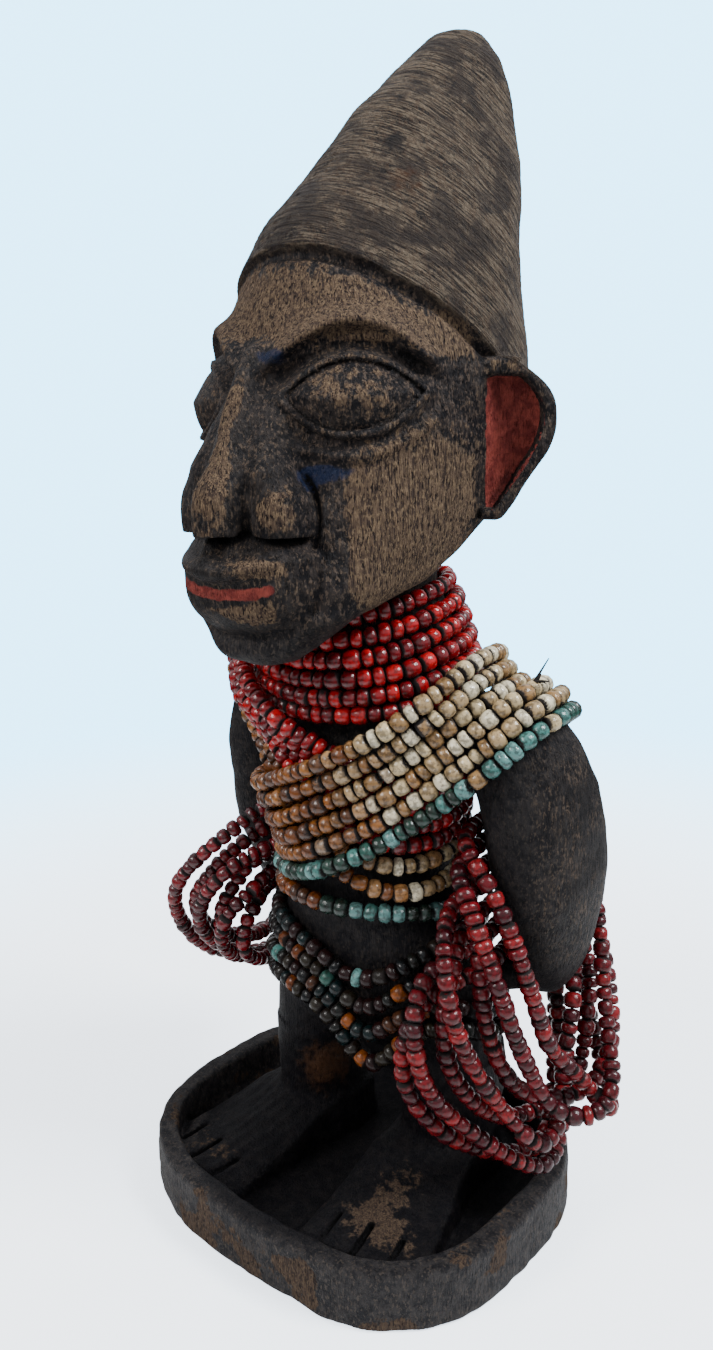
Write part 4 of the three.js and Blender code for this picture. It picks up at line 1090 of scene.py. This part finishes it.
def closed_curve(corners):
    """Points evenly spaced along a smooth closed curve through corners."""
    before, after, beyond = np.roll(corners, 1, 0), np.roll(corners, -1, 0), np.roll(corners, -2, 0)
    t = np.linspace(0, 1, 12, endpoint=False)[None, :, None]
    a, b, c, d = (p[:, None, :] for p in (before, corners, after, beyond))
    fine = 0.5 * (2 * b + (c - a) * t + (2 * a - 5 * b + 4 * c - d) * t**2 + (3 * b - a - 3 * c + d) * t**3)
    count = int(length_of(corners) / CURVE_STEP)
    return spaced(fine.reshape(-1, 3), np.linspace(0, 1, count, endpoint=False))


def pushes(points, owner, radius):
    """How far points move so that those of different lines stand two radii apart."""
    order = np.argsort(points[:, 2], kind="stable")
    ranked = points[order]
    low = np.searchsorted(ranked[:, 2], ranked[:, 2] - 2 * radius)
    push = np.zeros_like(points)
    hits = np.zeros(len(points))
    widest = int((np.arange(len(points)) - low).max())
    for lag in range(1, widest + 1):
        a, b = order[lag:], order[:-lag]
        gap = points[a] - points[b]
        far = np.linalg.norm(gap, axis=1)
        close = (far < 2 * radius) & (owner[a] != owner[b])
        if not close.any():
            continue
        a, b, gap, far = a[close], b[close], gap[close], np.maximum(far[close], 1e-6)
        move = gap * ((2 * radius - far) / far / 2)[:, None]
        np.add.at(push, a, move)
        np.add.at(push, b, -move)
        np.add.at(hits, a, 1)
        np.add.at(hits, b, 1)
    return push / np.maximum(hits, 1)[:, None]


def settle(lines, radius):
    """Draws the strings onto the wood and off each other; each stays near its own place in the frame."""
    sizes = [len(line) for line in lines]
    starts = np.concatenate([[0], np.cumsum(sizes)])
    owner = np.repeat(np.arange(len(lines)), sizes)
    points = np.vstack(lines)
    homes = points.copy()
    before = np.concatenate([s + np.roll(np.arange(n), 1) for s, n in zip(starts, sizes)])
    after = np.concatenate([s + np.roll(np.arange(n), -1) for s, n in zip(starts, sizes)])
    for _ in range(SETTLE_ROUNDS):
        points = points + SETTLE_SMOOTHING * (0.5 * (points[before] + points[after]) - points)
        points = points + SETTLE_HOMING * (homes - points)
        for _ in range(2):
            points = points + pushes(points, owner, radius) * SETTLE_PUSH
        slope = slope_of(points, 0.3)
        steep = np.maximum(np.linalg.norm(slope, axis=1), 0.3)
        short = np.clip(radius - carved(points) / steep, 0, 1.0)
        points = points + slope / steep[:, None] * short[:, None]
    return [points[s : s + n] for s, n in zip(starts, sizes)]


def frames_along(points):
    """Unit directions along a closed line and across it, at each of its points."""
    run = unit(np.roll(points, -1, 0) - np.roll(points, 1, 0))
    out = points - points.mean(0)
    out = unit(out - (out * run).sum(1)[:, None] * run)
    return run, out, np.cross(run, out)


def lathed(profile, sides):
    """A closed lathe along x: rings of vertices, with a sunk middle vertex at both ends."""
    turn = 2 * np.pi * np.arange(sides) / sides
    rings = [np.stack([np.full(sides, x), r * np.cos(turn), r * np.sin(turn)], 1) for x, r in profile]
    ends = np.array([[profile[0][0] + BEAD_DIMPLE, 0, 0], [profile[-1][0] - BEAD_DIMPLE, 0, 0]])
    vertices = np.vstack(rings + [ends])
    faces = []
    for i in range(sides):
        j = (i + 1) % sides
        faces.append((len(vertices) - 2, j, i))
        last = (len(profile) - 1) * sides
        faces.append((len(vertices) - 1, last + i, last + j))
        for a in range(0, last, sides):
            b = a + sides
            faces += [(a + i, a + j, b + j), (a + i, b + j, b + i)]
    return vertices, np.array(faces)


BEAD_SHAPE, BEAD_FACES = lathed(BEAD_PROFILE, BEAD_SIDES)


def rings_around(points, out, across, radii):
    turn = 2 * np.pi * np.arange(THREAD_SIDES) / THREAD_SIDES
    ring = np.cos(turn)[None, :, None] * out[:, None] + np.sin(turn)[None, :, None] * across[:, None]
    return (points[:, None] + radii[:, None, None] * ring).reshape(-1, 3)


def wall(a, b):
    """Triangles between two rings of a thread, from the number of each ring's first vertex."""
    faces = []
    for i in range(THREAD_SIDES):
        j = (i + 1) % THREAD_SIDES
        faces += [(a + i, a + j, b + j), (a + i, b + j, b + i)]
    return faces


def thread(points):
    """A closed thread along a closed line."""
    _, out, across = frames_along(points)
    vertices = rings_around(points, out, across, np.full(len(points), THREAD_RADIUS))
    faces = []
    for i in range(len(points)):
        faces += wall(i * THREAD_SIDES, (i + 1) % len(points) * THREAD_SIDES)
    return vertices, np.array(faces)


def thread_end(line, radii):
    """A thread along an open line, closed at both ends."""
    run = unit(np.gradient(line, axis=0))
    out = unit(np.cross(run, np.array([0.3, 1.0, 0.2])))
    last = (len(line) - 1) * THREAD_SIDES
    faces = []
    for a in range(0, last, THREAD_SIDES):
        faces += wall(a, a + THREAD_SIDES)
    for i in range(1, THREAD_SIDES - 1):
        faces += [(0, i + 1, i), (last, last + i, last + i + 1)]
    return rings_around(line, out, np.cross(run, out), radii), np.array(faces)


def frayed_ends(root, draw):
    """Short loose ends of thread that stand up from a knot."""
    vertices, faces = [], []
    for _ in range(FRAYED_ENDS):
        lean = np.array([0.8, 0.2, 0.7]) + draw.normal(0, 0.35, 3)
        bend = draw.normal(0, 1.2, 3)
        t = np.linspace(0, 1, 6)[:, None]
        line = root + t * lean / np.linalg.norm(lean) * draw.uniform(*FRAYED_LENGTHS) + t**2 * bend
        shape, shape_faces = thread_end(line, THREAD_RADIUS - 0.3 * t[:, 0])
        faces.append(shape_faces + sum(len(v) for v in vertices))
        vertices.append(shape)
    return np.vstack(vertices), np.vstack(faces)


def lay_beads(line, radius, draw):
    """Irregular beads side by side along a line: their middles, lengths and radii."""
    total = length_of(line)
    low, high = BEAD_LENGTHS
    lengths = draw.uniform(low, high, int(total / ((low + high) / 2)))
    lengths *= total / lengths.sum()
    edges = np.concatenate([[0], np.cumsum(lengths)]) / total
    middles = spaced(line, (edges[:-1] + edges[1:]) / 2)
    radii = radius * np.clip(draw.normal(*BEAD_WIDTHS, len(lengths)), *BEAD_WIDTH_ENDS)
    return middles, lengths, radii


def bead_shapes(beads, draw):
    """The vertices and faces of a string's beads, each a little tilted and squeezed."""
    middles, lengths, radii = beads
    run, out, across = frames_along(middles)
    count = len(middles)
    tilt = draw.normal(0, BEAD_TILT, (count, 2))
    squeeze = draw.uniform(*BEAD_SQUEEZE, count)[:, None, None]
    run = unit(run + tilt[:, :1] * out + tilt[:, 1:] * across)
    out = unit(out - (out * run).sum(1)[:, None] * run)
    across = np.cross(run, out)
    along, sideways, upright = (BEAD_SHAPE[None, :, a : a + 1] for a in range(3))
    along_bead = along * (lengths[:, None, None] / 2 * BEAD_FILL) * run[:, None]
    spread = sideways * out[:, None] * squeeze + upright * across[:, None]
    vertices = (middles[:, None] + along_bead + spread * radii[:, None, None]).reshape(-1, 3)
    faces = (BEAD_FACES[None] + (np.arange(count) * len(BEAD_SHAPE))[:, None, None]).reshape(-1, 3)
    return vertices, faces


def dirt_and_shade_near_other_strings(vertices, own, neighbours, radius):
    """How close vertices lie to the beads of other strings, from 0 to 1, where dirt gathers and shade is
    painted.
    """
    near_beads, owners = neighbours
    close = np.zeros(len(vertices))
    for i, vertex in enumerate(vertices):
        for _, index, gap in near_beads.find_n(vertex, 5):
            if owners[index] != own:
                close[i] = 1 - (gap / radius - DIRT_AND_SHADE_FULL) / DIRT_AND_SHADE_FADES
                break
    return np.clip(close, 0, 1)


def build_string(node, line, beads, own, neighbours, colours, slot, draw):
    """One string: irregular beads on a dark thread, as one piece in place of its node."""
    middles, _, radii = beads
    count, size = len(middles), len(BEAD_SHAPE)
    bead_vertices, faces = bead_shapes(beads, draw)
    thread_vertices, thread_faces = thread(spaced(line, np.arange(count) / count))
    if node == KNOTTED_STRING:
        knot = middles[np.argmax(middles @ np.array(KNOT_SIDE))]
        end_vertices, end_faces = frayed_ends(knot + np.array([0, 0, KNOT_RISE]), draw)
        thread_faces = np.vstack([thread_faces, end_faces + len(thread_vertices)])
        thread_vertices = np.vstack([thread_vertices, end_vertices])
    vertices = np.vstack([bead_vertices, thread_vertices])
    faces = np.vstack([faces, thread_faces + len(bead_vertices)])
    piece = mesh_object(f"{node}_beads", in_metres(vertices), faces)
    tints = np.repeat(colours(middles, draw), size, axis=0)
    thread_tint = np.tile(np.array(srgb(*THREAD_COLOUR)), (len(thread_vertices), 1))
    end = np.tile(np.clip(np.abs(BEAD_SHAPE[:, 0]), 0, 1) ** 5, count)
    # Painted shade, with dirt, on the sides of beads that press against another string's beads.
    end = np.maximum(end, 0.9 * dirt_and_shade_near_other_strings(bead_vertices, own, neighbours, radii.mean()))
    grime = np.repeat(np.clip(draw.normal(0.02, 0.2, count), -0.2, 0.5), size)
    set_values(piece, "tint", np.vstack([tints, thread_tint]))
    set_values(piece, "end", np.concatenate([end, np.ones(len(thread_vertices))]))
    set_values(piece, "grime", np.concatenate([grime, np.zeros(len(thread_vertices))]))
    piece.data.materials.append(bead_glass[slot])
    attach(piece, "root")
    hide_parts(node)


# Colours of the beads
REDS = [(150, 12, 20), (164, 18, 22), (124, 10, 18), (100, 10, 18)]
DEEP_REDS = [(98, 8, 18), (84, 6, 16), (66, 6, 14), (112, 14, 22)]
MAROONS = [(98, 10, 18), (80, 8, 16), (116, 20, 24), (58, 8, 16), (92, 14, 22)]
CREAMS = [(186, 166, 128), (158, 134, 98), (204, 192, 164), (132, 102, 66)]
OCHRES = [(124, 74, 32), (102, 56, 24), (142, 92, 46), (76, 44, 24)]
GREENS = [(66, 112, 106), (44, 78, 70), (34, 54, 46), (92, 134, 130)]
AMBERS = [(116, 60, 20), (92, 46, 18), (62, 36, 22)]
GREYS = [(20, 22, 20), (14, 16, 17), (28, 24, 20), (10, 24, 25), (30, 13, 13), (34, 30, 23)]
TINT_SPREAD = 0.10


def picked(palette, count, draw):
    chosen = np.array([srgb(*colour) for colour in palette])[draw.integers(0, len(palette), count)]
    chosen[:, :3] *= draw.uniform(1 - TINT_SPREAD, 1 + TINT_SPREAD, (count, 1))
    return chosen


def plain(palette):
    return lambda middles, draw: picked(palette, len(middles), draw)


def shoulder_to_hip(middles, draw):
    """Cream over the shoulder, turning ochre and brown towards the other hip."""
    creams, ochres = picked(CREAMS, len(middles), draw), picked(OCHRES, len(middles), draw)
    creamy = smooth_step(middles[:, 0] + draw.normal(0, 4.0, len(middles)), 6, 24)
    return creams * creamy[:, None] + ochres * (1 - creamy)[:, None]


def lowest_row(middles, draw):
    """Blue-green, with a few cream beads over the shoulder."""
    greens, creams = picked(GREENS, len(middles), draw), picked(CREAMS, len(middles), draw)
    cream = (draw.uniform(0, 1, len(middles)) < 0.14) & (middles[:, 0] > 12)
    return np.where(cream[:, None], creams, greens)


def waist_row(middles, draw):
    """Amber and brown beads from the right hip to the middle, then dark green ones towards the left."""
    ambers, greens = picked(AMBERS, len(middles), draw), picked(GREENS, len(middles), draw) * 0.7
    green = middles[:, 0] + draw.normal(0, 2, len(middles)) > 6
    return np.where(green[:, None], greens, ambers)


def hip_row(middles, draw):
    """Dark grey and green beads, with a few orange and pale ones."""
    greys = picked(GREYS, len(middles), draw)
    chance = draw.uniform(0, 1, len(middles))
    ambers, pale = picked(AMBERS, len(middles), draw), picked(GREENS, len(middles), draw)
    mixed = np.where((chance < 0.07)[:, None], ambers, greys)
    return np.where((chance > 0.93)[:, None], pale, mixed)


# Kinds of glass: its roughness, how strongly dirt follows its pits, and its gloss
GLASS = {
    "red_glass": (0.12, 0.7, 0.5),
    "maroon_glass": (0.18, 1.3, 0.32),
    "cream_glass": (0.16, 1.3, 0.5),
    "ochre_glass": (0.16, 1.3, 0.45),
    "turquoise_glass": (0.14, 1.1, 0.42),
    "grey_glass": (0.18, 1.0, 0.22),
}
# Rows of strings: the node's name, its first and last number, the slot and the beads' colours
ROWS = (
    ("neck_string_{}", 1, 6, "red_glass", plain(REDS)),
    ("right_shoulder_string_{}", 1, 2, "ochre_glass", shoulder_to_hip),
    ("right_shoulder_string_{}", 3, 6, "red_glass", plain(REDS)),
    ("left_shoulder_string_{}", 1, 1, "turquoise_glass", lowest_row),
    ("left_shoulder_string_{}", 2, 6, "cream_glass", shoulder_to_hip),
    ("waist_string", 1, 1, "ochre_glass", waist_row),
    ("hip_string_{}", 1, 4, "grey_glass", hip_row),
    ("left_arm_loop_{}", 1, 7, "maroon_glass", plain(MAROONS)),
    ("right_arm_loop_{}", 1, 6, "red_glass", plain(DEEP_REDS)),
)
FIRST_SEED = 100

carving = build_carving()
carving.data.materials.append(wood_material())
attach(carving, "root")
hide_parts("carved_figure")

bead_glass = {name: bead_material(name, *looks) for name, looks in GLASS.items()}
strings = {}
for name, first, last, slot, colours in ROWS:
    for number in range(first, last + 1):
        strings[name.format(number)] = (slot, colours)

sections = {node: square_sections(node) for node in strings}
BEAD_RADIUS = sections["waist_string"][1] / STRING_SIDE_SHARE / 2
settled = settle([closed_curve(corners) for corners, _ in sections.values()], BEAD_RADIUS)
draws = [np.random.default_rng(FIRST_SEED + number) for number in range(len(settled))]
laid = [lay_beads(line, BEAD_RADIUS, draw) for line, draw in zip(settled, draws)]
owners = np.repeat(np.arange(len(laid)), [len(beads[0]) for beads in laid])
near_beads = KDTree(len(owners))
for number, middle in enumerate(np.vstack([beads[0] for beads in laid])):
    near_beads.insert(middle, number)
near_beads.balance()
neighbours = (near_beads, owners)
for number, (node, (slot, colours)) in enumerate(strings.items()):
    build_string(node, settled[number], laid[number], number, neighbours, colours, slot, draws[number])


# The room: a pale floor and soft light
WALL_COLOUR = (0.27, 0.68, 1.0, 1)
WALL_BRIGHTNESS = 7.0
ROOM_COLOUR = (0.92, 0.95, 1.0, 1)
ROOM_LIGHT = 0.98
FLOOR_REACH = 6.0
FLOOR_GLOW = 2.2
FLOOR_FADES = (0.10, 0.42)
LAMP_TARGET = (0, 0, 0.13)
# Each lamp: its place, size, power and colour
LAMPS = {
    "window": ((0.55, 0.20, 0.80), 0.3, 13.5, (0.93, 0.97, 1.0)),
    "front_fill": ((-0.30, -0.75, 0.70), 0.35, 7.5, (1.0, 0.98, 0.95)),
}


def floor():
    mesh = bpy.data.meshes.new("floor")
    corners = [(x * FLOOR_REACH, y * FLOOR_REACH, 0) for x, y in ((-1, -1), (1, -1), (1, 1), (-1, 1))]
    mesh.from_pydata(corners, [], [(0, 1, 2, 3)])
    plane = link(bpy.data.objects.new("floor", mesh))
    n = Nodes("pale_floor")
    weave = n.noise(n.millimetres(), 0.03, 3)
    shade = n.mix(weave, srgb(228, 229, 230), srgb(238, 239, 240))
    way_out = n.add("ShaderNodeVectorMath", {0: n.place()}, operation="LENGTH").outputs["Value"]
    far = n.step(way_out, *FLOOR_FADES)
    glow = n.mix(far, srgb(226, 238, 252), WALL_COLOUR)
    strength = n.math("MULTIPLY_ADD", far, WALL_BRIGHTNESS - FLOOR_GLOW, FLOOR_GLOW)
    strength = n.times(strength, n.add("ShaderNodeLightPath").outputs["Is Camera Ray"])
    shade = n.mix(far, shade, (0, 0, 0, 1))
    lit = {"Emission Color": glow, "Emission Strength": strength, "Specular IOR Level": 0.0}
    plane.data.materials.append(n.finish({"Base Color": shade, "Roughness": 0.8, **lit}))


def lamp(name, place, size, power, colour):
    data = bpy.data.lights.new(name, "AREA")
    data.size = size
    data.energy = power
    data.color = colour
    light = link(bpy.data.objects.new(name, data))
    light.location = place
    light.rotation_euler = (Vector(LAMP_TARGET) - Vector(place)).to_track_quat("-Z", "Y").to_euler()


def light_room():
    world = bpy.data.worlds.new("pale_room")
    world.use_nodes = True
    tree = world.node_tree
    seen = tree.nodes["Background"]
    around = tree.nodes.new("ShaderNodeBackground")
    lit = ((seen, WALL_COLOUR, WALL_BRIGHTNESS), (around, ROOM_COLOUR, ROOM_LIGHT))
    for background, colour, strength in lit:
        background.inputs["Color"].default_value = colour
        background.inputs["Strength"].default_value = strength
    either = tree.nodes.new("ShaderNodeMixShader")
    tree.links.new(tree.nodes.new("ShaderNodeLightPath").outputs["Is Camera Ray"], either.inputs[0])
    tree.links.new(around.outputs[0], either.inputs[1])
    tree.links.new(seen.outputs[0], either.inputs[2])
    tree.links.new(either.outputs[0], tree.nodes["World Output"].inputs["Surface"])
    bpy.context.scene.world = world
    for name, settings in LAMPS.items():
        lamp(name, *settings)


def camera():
    data = bpy.data.cameras.new("photo_camera")
    data.sensor_width = SENSOR
    data.sensor_fit = "AUTO"
    data.lens = FOCAL_PIXELS * SENSOR / PHOTO_HEIGHT
    data.shift_x = (PHOTO_WIDTH / 2 - AXIS_PIXEL) / PHOTO_HEIGHT
    data.clip_start = 0.01
    made = bpy.data.objects.new("photo_camera", data)
    turn = CAMERA_AZIMUTH + CAMERA_YAW
    flat, drop = math.cos(CAMERA_PITCH), -math.sin(CAMERA_PITCH)
    ahead = Vector((-math.sin(turn) * flat, math.cos(turn) * flat, drop))
    level = Vector((math.cos(turn), math.sin(turn), 0))
    upright = level.cross(ahead)
    right = math.cos(CAMERA_ROLL) * level + math.sin(CAMERA_ROLL) * upright
    up = -math.sin(CAMERA_ROLL) * level + math.cos(CAMERA_ROLL) * upright
    rotation = Matrix((right, up, -ahead)).transposed().to_4x4()
    out, back = CAMERA_REACH * math.sin(CAMERA_AZIMUTH), CAMERA_REACH * math.cos(CAMERA_AZIMUTH)
    made.matrix_world = Matrix.Translation(Vector((out, -back, CAMERA_HEIGHT)) * METRES) @ rotation
    link(made)
    bpy.context.scene.camera = made


floor()
light_room()
camera()
